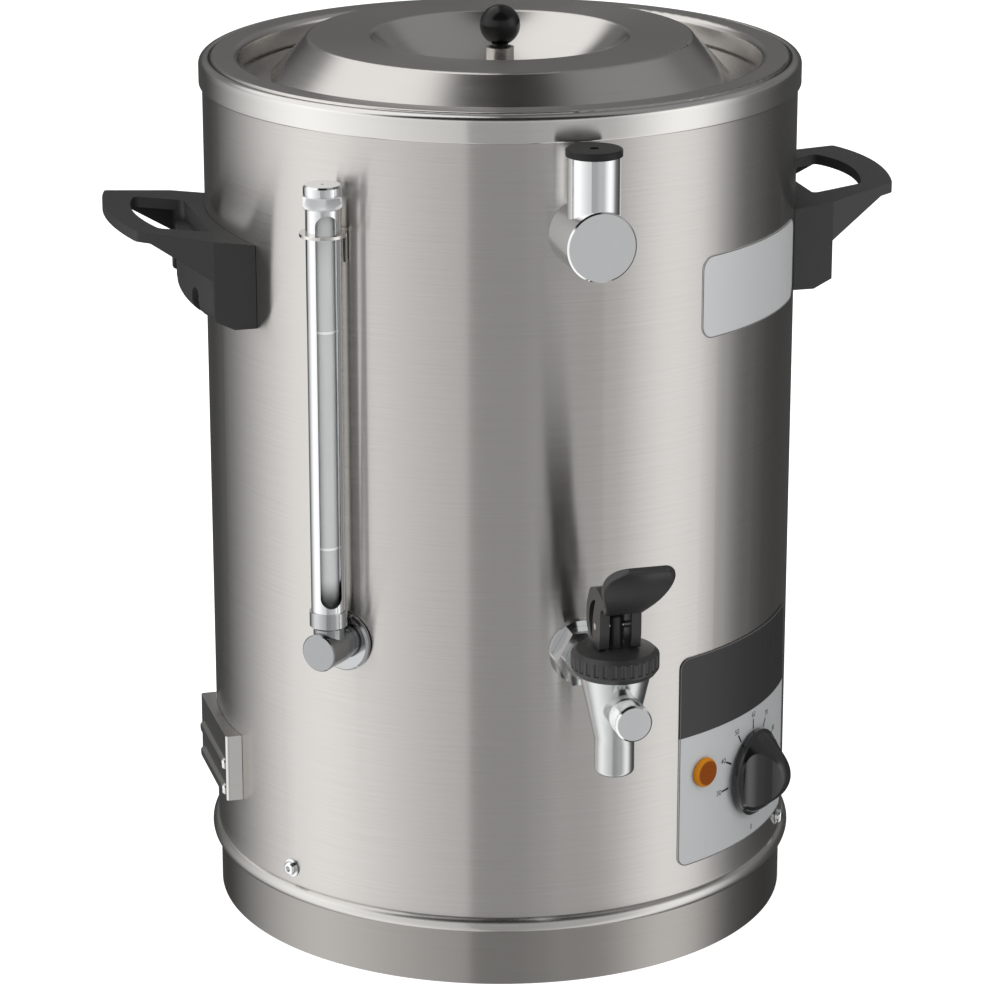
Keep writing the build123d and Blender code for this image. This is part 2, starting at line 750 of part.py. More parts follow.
def make_lid_stud():
    """Threaded stud from under the lid up into the ball, with its nut."""
    nut_top = dish_floor - lid_sheet - fit_gap
    stud = disc(lid_stud_radius, nut_top - lid_nut_thick, ball_centre - run_gap)
    nut = extrude(RegularPolygon(lid_nut_flats / 2, 6, major_radius=False), lid_nut_thick)
    return stud + Pos(0, 0, nut_top - lid_nut_thick) * nut


# ---------------------------------------------------------------- handles
def handle_screw_azimuths():
    return [side * 90 + turn * handle_screw_turn for side in (-1, 1) for turn in (-1, 1)]


def grip_top(reach):
    """Height of the grip's top face at a distance from the urn's axis."""
    return handle_top + handle_rise * (reach - shell_radius)


def handle_start():
    """Distance from the axis at which the handle's blank starts, well inside the shell."""
    return sqrt(shell_radius ** 2 - handle_half_width ** 2) - past


def handle_plan(margin):
    """Plan of the handle, drawn in by margin, from inside the shell out to the bowed tip."""
    wide = handle_half_width - margin
    narrow = handle_tip_half_width - margin
    tip = handle_tip - margin
    start = handle_start()
    sides = Polyline((tip, -narrow), (handle_gusset, -wide), (start, -wide), (start, wide),
                     (handle_gusset, wide), (tip, narrow))
    return make_face(Curve() + [sides, ThreePointArc((tip, narrow), (tip + handle_bow, 0), (tip, -narrow))])


def handle_slice(corners, roundings=None):
    """Slab across the whole handle, from a profile of (distance from the axis, height)."""
    if roundings is None:
        outline = Polyline(*corners, close=True)
    else:
        outline = FilletPolyline(*corners, radius=roundings, close=True)
    return extrude(Plane.XZ * make_face(outline), 2 * handle_half_width, both=True)


def handle_window(low, high):
    """Finger window: its outer edge follows the grip's."""
    inner = handle_block - window_block_lap
    corner = handle_tip - window_edge
    half = handle_tip_half_width - window_side
    face = make_face(Curve() + [
        Polyline((corner, half), (inner, half), (inner, -half), (corner, -half)),
        ThreePointArc((corner, -half), (corner + handle_bow, 0), (corner, half))])
    return Pos(0, 0, low) * extrude(fillet(face.vertices(), grip_rounding), high - low)


def handle_screw_channel():
    """Round-topped channel in the wall block's face, open below, with the screw at its top."""
    bottom = handle_block - handle_channel_depth
    channel = spoke(handle_channel_radius, bottom, handle_reach, handle_screw_height)
    length = handle_screw_height - handle_foot + past
    return channel + Pos(0, -(bottom + handle_reach) / 2, handle_screw_height - length / 2) * Box(
        2 * handle_channel_radius, handle_reach - bottom, length)


def handle_screw_boss():
    """Solid left round a screw and its channel inside the hollow wall block."""
    start = handle_start()
    boss = spoke(handle_boss_radius, start, handle_reach, handle_screw_height)
    length = handle_screw_height - handle_foot
    return boss + Pos(0, -(start + handle_reach) / 2, handle_screw_height - length / 2) * Box(
        2 * handle_boss_radius, handle_reach - start, length)


def make_handle():
    """Moulded handle on +X: tilted grip plate with a finger window, side plates and a curved wall block."""
    low, high = handle_foot - past, grip_top(handle_reach) + past
    wall, far = handle_start(), handle_reach + past
    plan = handle_plan(0)
    plan = fillet(plan.vertices().group_by(Axis.X)[-1], grip_rounding)
    solid = Pos(0, 0, low) * extrude(plan, high - low)
    edge = handle_tip - tip_chamfer
    solid &= handle_slice([(wall, grip_top(wall)), (far, grip_top(far)), (far, grip_top(far) - handle_plate),
                           (edge, grip_top(edge) - handle_plate), (handle_gusset, handle_gusset_top),
                           (handle_block, handle_gusset_top), (handle_block, handle_foot),
                           (wall, handle_foot)], [0, 0, 0, 2, 0, 0, 0, 0])

    block = turned([(0, handle_foot), (handle_block, handle_foot), (handle_block, high), (0, high)],
                   [0, block_rounding, 0, 0])
    beneath = handle_slice([(wall, low), (far, low), (far, grip_top(far) - handle_plate),
                            (wall, grip_top(wall) - handle_plate)])
    hollow = Pos(0, 0, low) * extrude(handle_plan(handle_wall), high - low)
    solid -= (hollow & beneath) - block
    sides = Pos(0, 0, low) * extrude(handle_plan(0) - handle_plan(handle_wall), high - low)
    solid -= sides & handle_slice([(wall, low), (far, low), (far, handle_gusset_top),
                                   (handle_gusset, handle_gusset_top), (handle_gusset, handle_side_foot),
                                   (shell_radius, handle_foot), (wall, handle_foot)])

    block_top = handle_top - block_below_top
    pocket = disc(handle_block - handle_channel_depth - handle_wall / 2, handle_foot + handle_wall,
                  block_top - handle_wall) & hollow
    for turn in (-1, 1):
        pocket -= at_azimuth(handle_screw_boss(), 90 + turn * handle_screw_turn)
    solid -= pocket
    solid -= handle_window(low, high) - disc(handle_block, low, block_top)

    for turn in (-1, 1):
        hole = spoke(handle_screw_radius + fit_gap, wall, handle_reach, handle_screw_height)
        solid -= at_azimuth(hole + handle_screw_channel(), 90 + turn * handle_screw_turn)
    return solid - disc(shell_radius + fit_gap, low - past, high + past)


def make_handle_screws():
    """Pan-head screws at the top of the handles' channels."""
    seat = handle_block - handle_channel_depth
    head_end = seat + handle_screw_head_height
    screw = spoke(handle_screw_head, seat, head_end, handle_screw_height)
    screw = fillet(outer_edge(screw), 0.6 * handle_screw_head_height)
    length, width = handle_cross
    for turn in (0, 90):
        screw -= Pos(0, -head_end, handle_screw_height) * Rot(0, turn, 0) * Box(
            width, handle_screw_head_height, length)
    screw += spoke(handle_screw_radius, shell_inside - handle_screw_length, seat, handle_screw_height)
    return group([at_azimuth(screw, azimuth) for azimuth in handle_screw_azimuths()])


def make_handle_nuts():
    end = shell_inside - sagitta(handle_nut_flats) - fit_gap
    nut = hexagon(handle_nut_flats, end - handle_nut_thick, end, handle_screw_height,
                  handle_screw_radius + run_gap)
    return group([at_azimuth(nut, azimuth) for azimuth in handle_screw_azimuths()])


def sagitta(width):
    """How far the shell's inside curves away under a flat nut of that width across its flats."""
    half = width / sqrt(3)
    return shell_inside - sqrt(shell_inside ** 2 - half ** 2)


# ---------------------------------------------------------------- level gauge
def upright(radius, bottom, top):
    """Cylinder on the gauge's upright axis."""
    return disc(radius, bottom, top, 0, -gauge_axis)


def make_gauge_rosette():
    start = shell_radius + fit_gap
    rosette = spoke(rosette_radius, start, start + rosette_thick, gauge_height)
    rosette = chamfer(outer_edge(rosette), 0.35 * rosette_thick)
    hole = spoke(gauge_shank_radius + fit_gap, shell_inside, gauge_axis, gauge_height)
    return at_azimuth(rosette - hole, gauge_azimuth)


def make_gauge_body():
    """Angle fitting: shank through the shell, round body with a flat face, and an upright neck."""
    start = shell_radius + 2 * fit_gap + rosette_thick
    step = start + gauge_body_step
    shank_end = shell_radius - gauge_shank_length
    neck_top = ferrule_bottom + ferrule_web - fit_gap
    body = spoke(gauge_body_radius, step, gauge_axis + gauge_face_reach, gauge_height)
    body = chamfer(outer_edge(body), 0.5)
    body += spoke(gauge_body_radius - 0.7, start, step, gauge_height)
    body += spoke(gauge_shank_radius, shank_end, start, gauge_height)
    body += upright(gauge_neck_radius, gauge_height, neck_top)
    body -= spoke(gauge_shank_bore, shank_end - past, gauge_axis, gauge_height)
    body -= upright(gauge_shank_bore, gauge_height, neck_top + past)
    return at_azimuth(body, gauge_azimuth)


def make_gauge_nut():
    end = shell_inside - sagitta(gauge_nut_flats) - fit_gap
    nut = hexagon(gauge_nut_flats, end - gauge_nut_thick, end, gauge_height, gauge_shank_radius + run_gap)
    return at_azimuth(nut, gauge_azimuth)


def glass_foot():
    return ferrule_bottom + ferrule_web + gauge_seal_thick


def make_gauge_seal():
    """Seal between the glass and the fitting's neck."""
    seal = upright(shield_radius - shield_wall - fit_gap, glass_foot() - gauge_seal_thick, glass_foot())
    seal -= upright(glass_radius - glass_wall, ferrule_bottom, ferrule_top)
    return at_azimuth(seal, gauge_azimuth)


def make_gauge_ferrule():
    """Cup nut that holds the shield on the fitting's neck."""
    cup = upright(ferrule_radius, ferrule_bottom, ferrule_top)
    cup = chamfer(cup.edges().group_by(Axis.Z)[0], 0.8)
    cup -= upright(gauge_neck_radius + run_gap, ferrule_bottom - past, ferrule_bottom + ferrule_web)
    cup -= upright(shield_radius + run_gap, ferrule_bottom + ferrule_web, ferrule_top + past)
    return at_azimuth(cup, gauge_azimuth)


def make_sight_glass():
    glass = upright(glass_radius, glass_foot(), shield_top - shield_wall)
    glass -= upright(glass_radius - glass_wall, ferrule_bottom, shield_top + past)
    return at_azimuth(glass, gauge_azimuth)


def make_gauge_shield():
    """Metal tube round the glass, with one long round-ended slot."""
    shield = upright(shield_radius, ferrule_bottom + ferrule_web + fit_gap, shield_top)
    shield -= upright(shield_radius - shield_wall, ferrule_bottom, shield_top + past)
    width = 2 * shield_radius * sin(radians(shield_slot_half_angle))
    slot = extrude(SlotOverall(slot_length, width, rotation=90), shield_radius + past)
    slot = Pos(0, 0, (slot_top + slot_bottom) / 2) * Rot(90, 0, 0) * slot
    slot = Pos(0, -gauge_axis, 0) * Rot(0, 0, shield_slot_azimuth - gauge_azimuth) * slot
    return at_azimuth(shield - slot, gauge_azimuth)


def make_gauge_cap():
    """Screw cap with a knurled band, a smooth top and a breather hole."""
    band = upright(cap_knurl_radius, cap_bottom, cap_band_top)
    band = chamfer(band.edges().group_by(Axis.Z)[0], 0.9)
    top = upright(ferrule_radius, cap_band_top, cap_top)
    top = chamfer(top.edges().group_by(Axis.Z)[-1], 0.8)
    cap = band + top - upright(shield_radius + run_gap, cap_bottom - past, cap_bottom + cap_cover)
    return at_azimuth(cap - upright(cap_vent, cap_bottom, cap_top + past), gauge_azimuth)


def make_gauge_clip():
    """Wire-thin ring round the shield, with a tab down the shell."""
    clip_top = clip_height + clip_sheet
    foot = shell_radius + fit_gap
    clip = upright(clip_radius, clip_height, clip_top)
    tab = Pos(0, -(foot + 0.8 * clip_sheet), clip_top - clip_tab / 2) * Box(
        clip_tab_width, clip_sheet, clip_tab)
    bridge_length = gauge_axis - shield_radius - foot
    bridge = Pos(0, -(foot + bridge_length / 2 + 0.2 * clip_sheet), (clip_height + clip_top) / 2) * Box(
        clip_tab_width, bridge_length, clip_sheet)
    clip = clip + tab + bridge - upright(shield_radius + run_gap, clip_top - clip_tab - past, clip_top + past)
    return at_azimuth(clip - inside_shell(clip_height, 2 * clip_tab), gauge_azimuth)


# ---------------------------------------------------------------- vented filler
def make_vent_body():
    """Filler fitting: round barrel with a flat face, neck through the shell and an upright open tube."""
    neck_end = shell_inside - vent_neck_length
    barrel = spoke(vent_radius, shell_inside, vent_face, vent_height)
    barrel = chamfer(outer_edge(barrel), 0.7)
    body = barrel + disc(vent_tube_radius, vent_height, vent_tube_top, 0, -vent_tube_axis)
    body -= inside_shell(vent_height, 2 * vent_radius)
    body += spoke(vent_neck_radius, neck_end, vent_tube_axis, vent_height)
    body -= spoke(vent_bore, neck_end - past, vent_tube_axis, vent_height)
    return body - disc(vent_tube_bore, vent_height - vent_sump, vent_tube_top + past, 0, -vent_tube_axis)


def make_vent_nut():
    end = shell_inside - sagitta(vent_nut_flats) - fit_gap
    return hexagon(vent_nut_flats, end - vent_nut_thick, end, vent_height, vent_neck_radius + run_gap)


def make_vent_cap():
    """Push-in cap with a breather hole."""
    bottom = vent_tube_top + rest_gap
    top = bottom + vent_cap_thick
    cap = disc(vent_cap_radius, bottom, top, 0, -vent_tube_axis)
    cap = fillet(cap.edges().group_by(Axis.Z)[-1], 0.25 * vent_cap_thick)
    cap += disc(vent_tube_bore - run_gap, bottom - vent_plug_depth, bottom, 0, -vent_tube_axis)
    return cap - disc(vent_hole, bottom - vent_plug_depth - past, top + past, 0, -vent_tube_axis)


# ---------------------------------------------------------------- tap
def tap_turned(corners, roundings=None):
    """Solid of revolution on the tap's upright axis."""
    return Pos(0, -tap_axis, 0) * turned(corners, roundings)


def tap_disc(radius, bottom, top):
    """Cylinder on the tap's upright axis."""
    return disc(radius, bottom, top, 0, -tap_axis)


def pin_rod(radius, length):
    """Rod along X through the lever's pin."""
    return Pos(0, -tap_axis, pin_height) * Rot(0, 90, 0) * Cylinder(radius, length)


def make_tap_body():
    """Cast tap: shank, tapered body, spout, threaded neck and the boss of the thumb screw."""
    body = tap_turned([(0, spout_end), (spout_radius, spout_end), (spout_radius, spout_start),
                       (tap_body_radius, tap_body_top), (tap_neck_radius, tap_body_top),
                       (tap_neck_radius, tap_neck_top), (0, tap_neck_top)],
                      [0, 0.8 * (spout_radius - spout_bore), 12, 0, 0, 0, 0])
    step = shell_radius + 2 * fit_gap + tap_flange_thick + tap_nut_thick
    body += spoke(tap_shank_radius, tap_shank_start, step, tap_height)
    body += spoke(tap_arm_radius, step, tap_axis, tap_height)
    boss = spoke(screw_boss_radius, tap_axis, screw_boss_end, screw_height)
    body += fillet(outer_edge(boss), 1.0)
    body -= tap_disc(tap_chamber, tap_seat + seat_slope, tap_neck_top + past)
    body -= tap_turned([(0, tap_seat), (spout_bore, tap_seat), (tap_chamber, tap_seat + seat_slope),
                        (0, tap_seat + seat_slope)])
    body -= tap_disc(spout_bore, spout_end - past, tap_seat)
    body -= spoke(tap_shank_bore, tap_shank_start - past, tap_axis, tap_height)
    return body - spoke(screw_shank_radius + run_gap, screw_boss_end - screw_shank_length - fit_gap,
                        screw_boss_end + past, screw_height)


def make_tap_flange():
    start = shell_radius + fit_gap
    flange = spoke(tap_flange_radius, shell_inside, start + tap_flange_thick, tap_height)
    flange -= spoke(tap_shank_radius + run_gap, pot_wall, tap_axis, tap_height)
    return flange - inside_shell(tap_height, 2 * tap_flange_radius)


def make_tap_nut():
    start = shell_radius + 2 * fit_gap + tap_flange_thick
    return hexagon(tap_nut_flats, start, start + tap_nut_thick, tap_height, tap_shank_radius + run_gap)


def make_tap_sleeve():
    """Spacer tube that carries the shank through the water jacket."""
    start = pot_wall + pot_sheet + fit_gap + seal_thick
    end = shell_inside - fit_gap - seal_thick
    sleeve = spoke(sleeve_radius, start, end, tap_height)
    return sleeve - spoke(tap_shank_radius + run_gap, start - past, end + past, tap_height)


def make_tap_seals():
    """Flat seals at both ends of the sleeve and under the lock nut."""
    hole = spoke(tap_shank_radius + run_gap, tap_shank_start, shell_radius + past, tap_height)
    low, high = tap_height - 2 * seal_radius, tap_height + 2 * seal_radius
    outer_start = shell_inside - fit_gap - seal_thick
    inner_start = pot_wall + pot_sheet + fit_gap
    shell_seal = spoke(seal_radius, outer_start, shell_radius, tap_height) - hole
    shell_seal &= disc(shell_inside - run_gap, low, high)
    pot_seal = spoke(seal_radius, pot_wall, inner_start + seal_thick, tap_height) - hole
    pot_seal -= disc(pot_wall + pot_sheet + run_gap, low, high)
    nut_seal = spoke(seal_radius, lock_nut_end() + run_gap, pot_wall, tap_height) - hole
    nut_seal &= disc(pot_wall - run_gap, low, high)
    return group([shell_seal, pot_seal, nut_seal])


def lock_nut_end():
    """Outer face of the lock nut, against the seal that fills the pot's curve under it."""
    curve = pot_wall - sqrt(pot_wall ** 2 - seal_radius ** 2)
    return pot_wall - curve - seal_thick - fit_gap


def make_tap_lock_nut():
    end = lock_nut_end()
    return hexagon(lock_nut_flats, end - lock_nut_thick, end, tap_height, tap_shank_radius + run_gap)


def make_bonnet():
    """Fluted ring nut that closes the tap and guides the stem: flutes run out through its shoulder."""
    foot = tap_body_top + fit_gap
    flat_inset, cone_inset, cone_drop, shoulder_drop = bonnet_shoulder
    foot_inset, foot_rise = bonnet_foot
    bonnet = tap_turned([(0, foot), (bonnet_radius - foot_inset, foot), (bonnet_radius, foot + foot_rise),
                         (bonnet_radius, bonnet_top - shoulder_drop),
                         (bonnet_radius - cone_inset, bonnet_top - cone_drop),
                         (bonnet_radius - flat_inset, bonnet_top), (0, bonnet_top)],
                        [0, *bonnet_roundings, 0])
    flute = disc(bonnet_flute_radius, foot + foot_rise + bonnet_flute_depth, bonnet_top + past)
    flute_axis = bonnet_radius - bonnet_flute_depth + bonnet_flute_radius
    for turn in range(bonnet_flutes):
        bonnet -= Pos(0, -tap_axis, 0) * Rot(0, 0, 360 * turn / bonnet_flutes) * Pos(flute_axis, 0, 0) * flute
    bonnet -= tap_disc(tap_neck_radius + run_gap, foot - past, tap_neck_top + fit_gap)
    return bonnet - tap_disc(stem_radius + run_gap, foot, bonnet_top + past)


def make_stem():
    """Stem with a flange above the seat cup, a rounded top and a cross hole for the lever's pin."""
    stem = tap_disc(stem_radius, stem_bottom, stem_top)
    stem = fillet(stem.edges().group_by(Axis.Z)[-1], 0.5 * stem_radius)
    stem += tap_disc(cup_radius - stem_flange, cup_top, cup_top + stem_flange)
    return stem - pin_rod(pin_radius, 4 * stem_radius)


def make_seat_cup():
    """Silicone cup on the stem's foot, resting on the seat."""
    foot = tap_seat + fit_gap
    slope = seat_slope * (cup_radius - spout_bore) / (tap_chamber - spout_bore)
    cup = tap_turned([(0, foot - cup_plug), (spout_bore - cup_plug, foot - cup_plug),
                      (spout_bore - fit_gap, foot), (cup_radius, foot + slope), (cup_radius, cup_top),
                      (0, cup_top)])
    return cup - tap_disc(stem_radius, stem_bottom, cup_top + past)


def make_tap_spring():
    """Compression spring between the stem's flange and the bonnet."""
    bottom = cup_top + stem_flange + spring_wire + run_gap
    top = tap_neck_top - spring_wire
    path = Pos(0, -tap_axis, bottom) * Helix((top - bottom) / spring_turns, top - bottom, spring_radius)
    start = Plane(origin=path @ 0, z_dir=path % 0)
    return sweep(start * RegularPolygon(spring_wire, 6), path=path)


def make_lever_pin():
    return pin_rod(pin_radius, 2 * cheek_outside)


def lever_side(outline):
    """Face drawn in (forward, up) from the lever's pin, placed upright at the tap's middle."""
    place = Plane(origin=(0, -tap_axis, pin_height), x_dir=(0, -1, 0), z_dir=(-1, 0, 0))
    return place * make_face(outline)


def make_lever():
    """Lever: two looped cheeks beside the stem with round feet on the bonnet, and a lofted paddle."""
    foot = lever_foot_gap - pin_rise
    root_forward, root_up = paddle_root
    front, back = lever_front, lever_back
    cheek = FilletPolyline((-0.45 * back, foot), (0.85 * front, foot), (front, 0.2 * foot),
                           (front, bridge_underside), (root_forward, root_up - paddle_thick),
                           (root_forward, root_up), (0.2 * front, bridge_top),
                           (-0.6 * back, 0.85 * bridge_top), (-back, 0.35 * bridge_top),
                           (-back, 0.3 * foot), radius=list(lever_roundings), close=True)
    cheeks = extrude(lever_side(cheek), cheek_outside, both=True)
    inner = Polyline((-2 * back, foot - past), (2 * front, foot - past), (2 * front, bridge_underside),
                     (-2 * back, bridge_underside), close=True)
    lever = cheeks - extrude(lever_side(inner), cheek_inside, both=True)

    low = (-0.25 * back, 0.72 * foot)
    high = (0.05 * back, bridge_underside + 0.1 * back)
    crescent = Curve() + [ThreePointArc(low, (slot_inset - back, 0.1 * foot), high),
                          ThreePointArc(high, (-2.2 * pin_radius, 0), low)]
    lever -= extrude(lever_side(crescent), 2 * cheek_outside, both=True)

    turn = radians(paddle_angle)
    along = Vector(0, -cos(turn), sin(turn))
    lift = Vector(0, sin(turn), cos(turn))
    root = Vector(0, -tap_axis - root_forward, pin_height + root_up)
    last = len(paddle_half_widths) - 1
    sections = []
    for step, half_width in enumerate(paddle_half_widths):
        share = step / last
        thick = paddle_thick * (1.0 if step < last else 0.5)
        sag = -paddle_bend * sin(2 * pi * share) - paddle_thick / 2
        middle = root + along * (paddle_length * (1.12 * share - 0.12)) + lift * sag
        plane = Plane(origin=middle, x_dir=(1, 0, 0), z_dir=along)
        sections.append(plane * RectangleRounded(2 * half_width, thick, 0.45 * thick))
    lever += loft(sections)
    return lever - pin_rod(pin_radius + run_gap, 2 * cheek_outside + past)


def make_thumb_screw():
    """Thumb screw in the front of the tap, with a broad round head."""
    start = screw_boss_end + rest_gap
    head = spoke(screw_head_radius, start, start + screw_head_length, screw_height)
    head = chamfer(head.edges(), 0.8)
    return head + spoke(screw_shank_radius, screw_boss_end - screw_shank_length, start, screw_height)


# ---------------------------------------------------------------- panel and mains side
def make_panel():
    panel = wrapped_plate(panel_from, panel_to, panel_bottom, panel_top, panel_sheet, panel_corner)
    start, end = shell_inside, shell_radius + panel_sheet + past
    panel -= at_azimuth(spoke(thermostat_bush + fit_gap, start, end, knob_height), knob_azimuth)
    return panel - at_azimuth(spoke(lamp_body_radius + fit_gap, start, end, lamp_height), lamp_azimuth)


def make_lamp_lens():
    """Amber lens, a low dome on a rim, with its neck in the panel."""
    start = shell_radius + panel_sheet + 2 * fit_gap
    lens = spoke(lamp_radius, start, start + lamp_thick, lamp_height)
    lens = fillet(outer_edge(lens), lamp_rounding)
    neck = spoke(lamp_body_radius, shell_inside - lamp_neck, start, lamp_height)
    return at_azimuth(lens + neck, lamp_azimuth)


def make_lamp_body():
    end = shell_inside - lamp_neck - fit_gap
    body = spoke(lamp_socket_radius, end - lamp_body_length, end, lamp_height)
    for side in (-1, 1):
        body += Pos(side * lamp_socket_radius / 2, -(end - lamp_body_length - tab_length / 2 + fit_gap),
                    lamp_height) * Box(tab_thick, tab_length, tab_width)
    return at_azimuth(body, lamp_azimuth)


def make_side_cover():
    """Shallow folded cover over the mains entry, open below, with two pressed ribs."""
    middle = (cover_top + cover_bottom) / 2
    box = Box(2 * cover_half_length, cover_reach, cover_height)
    box = fillet(box.edges().filter_by(Axis.Z).group_by(Axis.Y)[0], cover_corner)
    box = Pos(0, -(cover_face - cover_reach / 2), middle) * box
    inner_height = cover_height - cover_sheet + past
    hollow = Pos(0, -(cover_face - cover_sheet - cover_reach / 2),
                 cover_top - cover_sheet - inner_height / 2) * Box(
        2 * (cover_half_length - cover_sheet), cover_reach, inner_height)
    cover = box - hollow
    length, width, rise = cover_rib_size
    for rib_rise in cover_rib_rises:
        rib = extrude(SlotOverall(length, width), rise)
        rib = chamfer(rib.faces().sort_by(Axis.Z)[-1].edges(), rise * 0.7)
        cover += Pos(0, -cover_face, cover_bottom + rib_rise) * Rot(90, 0, 0) * rib
    return at_azimuth(cover - inside_shell(middle, cover_height), cover_azimuth)


def make_cord_bush():
    """Rubber bush in the shell for the mains lead."""
    neck_start = shell_inside - bush_neck_length
    flange_end = shell_radius + bush_flange + fit_gap
    bush = spoke(bush_radius, shell_inside, flange_end, bush_height)
    bush -= inside_shell(bush_height, 2 * bush_radius)
    bush += spoke(bush_neck_radius, neck_start, flange_end, bush_height)
    bush -= spoke(bush_hole, neck_start - past, flange_end + past, bush_height)
    return at_azimuth(bush, bush_azimuth)


def make_terminal_block():
    width, depth, height = block_size
    place = Pos(0, -(shell_inside - block_setback), bush_height - block_drop)
    block = place * Box(width, depth, height)
    for side in (-1, 0, 1):
        block -= place * Pos(side * width / 3.2, 0, 0) * Cylinder(block_hole, height + past)
    return at_azimuth(block, bush_azimuth)


def make_label_plate():
    return wrapped_plate(label_from, label_to, label_bottom, label_top, label_sheet, label_corner)


# ---------------------------------------------------------------- write every sub-part
makers = {
    "plinth_ring": make_plinth, "base_pan": make_base_pan, "base_screws": make_base_screws,
    "outer_shell": make_shell, "collar_ring": make_collar, "pot_seal": make_pot_seal,
    "inner_pot": make_inner_pot, "pot_floor": make_pot_floor,
    "jacket_floor": make_jacket_floor, "heating_element": make_heater, "heater_nuts": make_heater_nuts,
    "thermal_cutout": make_thermal_cutout, "thermostat_body": make_thermostat,
    "thermostat_spindle": make_spindle, "thermostat_capillary": make_capillary,
    "thermostat_bulb": make_bulb, "control_knob": make_knob, "control_panel": make_panel,
    "label_plate": make_label_plate, "lamp_lens": make_lamp_lens, "lamp_body": make_lamp_body,
    "lid_cover": make_lid, "lid_post": make_lid_post, "lid_knob": make_lid_knob, "lid_stud": make_lid_stud,
    "handle_right": make_handle, "handle_left": lambda: Rot(0, 0, 180) * make_handle(),
    "handle_screws": make_handle_screws, "handle_nuts": make_handle_nuts,
    "gauge_rosette": make_gauge_rosette, "gauge_body": make_gauge_body, "gauge_nut": make_gauge_nut,
    "gauge_seal": make_gauge_seal, "gauge_ferrule": make_gauge_ferrule, "sight_glass": make_sight_glass,
    "gauge_shield": make_gauge_shield, "gauge_cap": make_gauge_cap, "gauge_clip": make_gauge_clip,
    "vent_body": make_vent_body, "vent_nut": make_vent_nut, "vent_cap": make_vent_cap,
    "tap_body": make_tap_body, "tap_flange": make_tap_flange, "tap_nut": make_tap_nut,
    "tap_sleeve": make_tap_sleeve, "tap_seals": make_tap_seals, "tap_lock_nut": make_tap_lock_nut,
    "tap_bonnet": make_bonnet, "tap_stem": make_stem, "tap_seat_cup": make_seat_cup,
    "tap_spring": make_tap_spring, "lever_pin": make_lever_pin, "tap_lever": make_lever,
    "thumb_screw": make_thumb_screw, "side_cover": make_side_cover, "cord_bush": make_cord_bush,
    "terminal_block": make_terminal_block,
}

os.makedirs("parts", exist_ok=True)
for node, maker in makers.items():
    save(maker(), node)
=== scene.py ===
"""Jacketed hot drinks urn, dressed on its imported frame. Metres, +Z up, the tap points to -Y."""
import json
from math import cos, pi, radians, sin

import bmesh
import bpy
import numpy as np
from bpy.props import FloatProperty, FloatVectorProperty, IntProperty, PointerProperty
from mathutils import Euler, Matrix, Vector


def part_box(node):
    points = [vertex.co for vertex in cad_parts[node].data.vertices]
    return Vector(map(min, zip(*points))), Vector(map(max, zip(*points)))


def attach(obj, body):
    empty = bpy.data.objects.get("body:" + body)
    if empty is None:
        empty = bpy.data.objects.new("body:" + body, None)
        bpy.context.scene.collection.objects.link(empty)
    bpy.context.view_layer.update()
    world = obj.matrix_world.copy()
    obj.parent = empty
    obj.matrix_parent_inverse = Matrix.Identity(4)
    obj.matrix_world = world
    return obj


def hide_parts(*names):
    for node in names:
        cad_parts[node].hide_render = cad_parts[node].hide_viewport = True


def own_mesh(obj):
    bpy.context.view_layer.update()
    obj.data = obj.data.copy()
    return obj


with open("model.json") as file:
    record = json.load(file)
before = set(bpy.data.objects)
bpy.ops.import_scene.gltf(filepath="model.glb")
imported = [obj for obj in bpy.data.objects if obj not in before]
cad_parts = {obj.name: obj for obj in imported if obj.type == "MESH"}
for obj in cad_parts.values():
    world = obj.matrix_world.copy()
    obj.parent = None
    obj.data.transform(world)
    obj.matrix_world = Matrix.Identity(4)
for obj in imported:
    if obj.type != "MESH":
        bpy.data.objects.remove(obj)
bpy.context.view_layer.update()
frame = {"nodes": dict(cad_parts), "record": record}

bl_info = {
    "name": "Jacketed drinks urn",
    "version": (1, 0, 0),
    "blender": (4, 5, 0),
    "location": "View3D > Sidebar > Urn",
    "description": "Finishes, fittings and stage of a jacketed hot drinks urn",
    "category": "Object",
}

MM = 0.001
NODES = frame["nodes"]
SHELL = 135 * MM                 # shell's radius
LAMP_AZIMUTH = radians(27.64)
LAMP_FACE = 1.2 * MM             # from the lens's middle to its face
LENS_HIGHLIGHT_RING = (5.4 * MM, 6.4 * MM)  # its painted highlight, a paler rim, comes up between these distances from the face's middle
GLASS_SHADE_FADE = (8 * MM, 20 * MM)   # the painted reflection of the dark fitting below fades into the pale glass between these heights over its foot
MARK_HEIGHTS = (206.2 * MM, 304.0 * MM)
PRINT_BACK = 0.555 * MM          # ink's back in front of the shell, on the control plate
PRINT_THICK = 0.03 * MM
DIAL_AZIMUTH = radians(43.9)
DIAL_HEIGHT = 77.6 * MM
DIAL_STEP = 31.5                 # degrees between the dial's marks
RING_STEPS = 512                 # faces round the collar and the plinth
SMOOTH_UP_TO = radians(35)       # sharper edges of theirs stay sharp
SURFACE_STEP = 0.16 * MM         # distance of the points along a knurled piece's profile
FACES_PER_TOOTH = 8              # round a knurled piece
TEXT_SIZE = 1.4                  # a font's size over the height of its digits
PLINTH = {
    "wall": SHELL - 1.0 * MM,
    "shell_foot": 33 * MM,
    "bead_height": 7.4 * MM,
    "sheet": 1.0 * MM,
    "hem": 8.0 * MM,
    "shell_sheet": 0.9 * MM,
}
BEAD_HIGHLIGHT_FADE = (-1.0 * MM, 1.5 * MM)    # the bead's painted highlight, a brighter tone, comes up between these heights over its foot
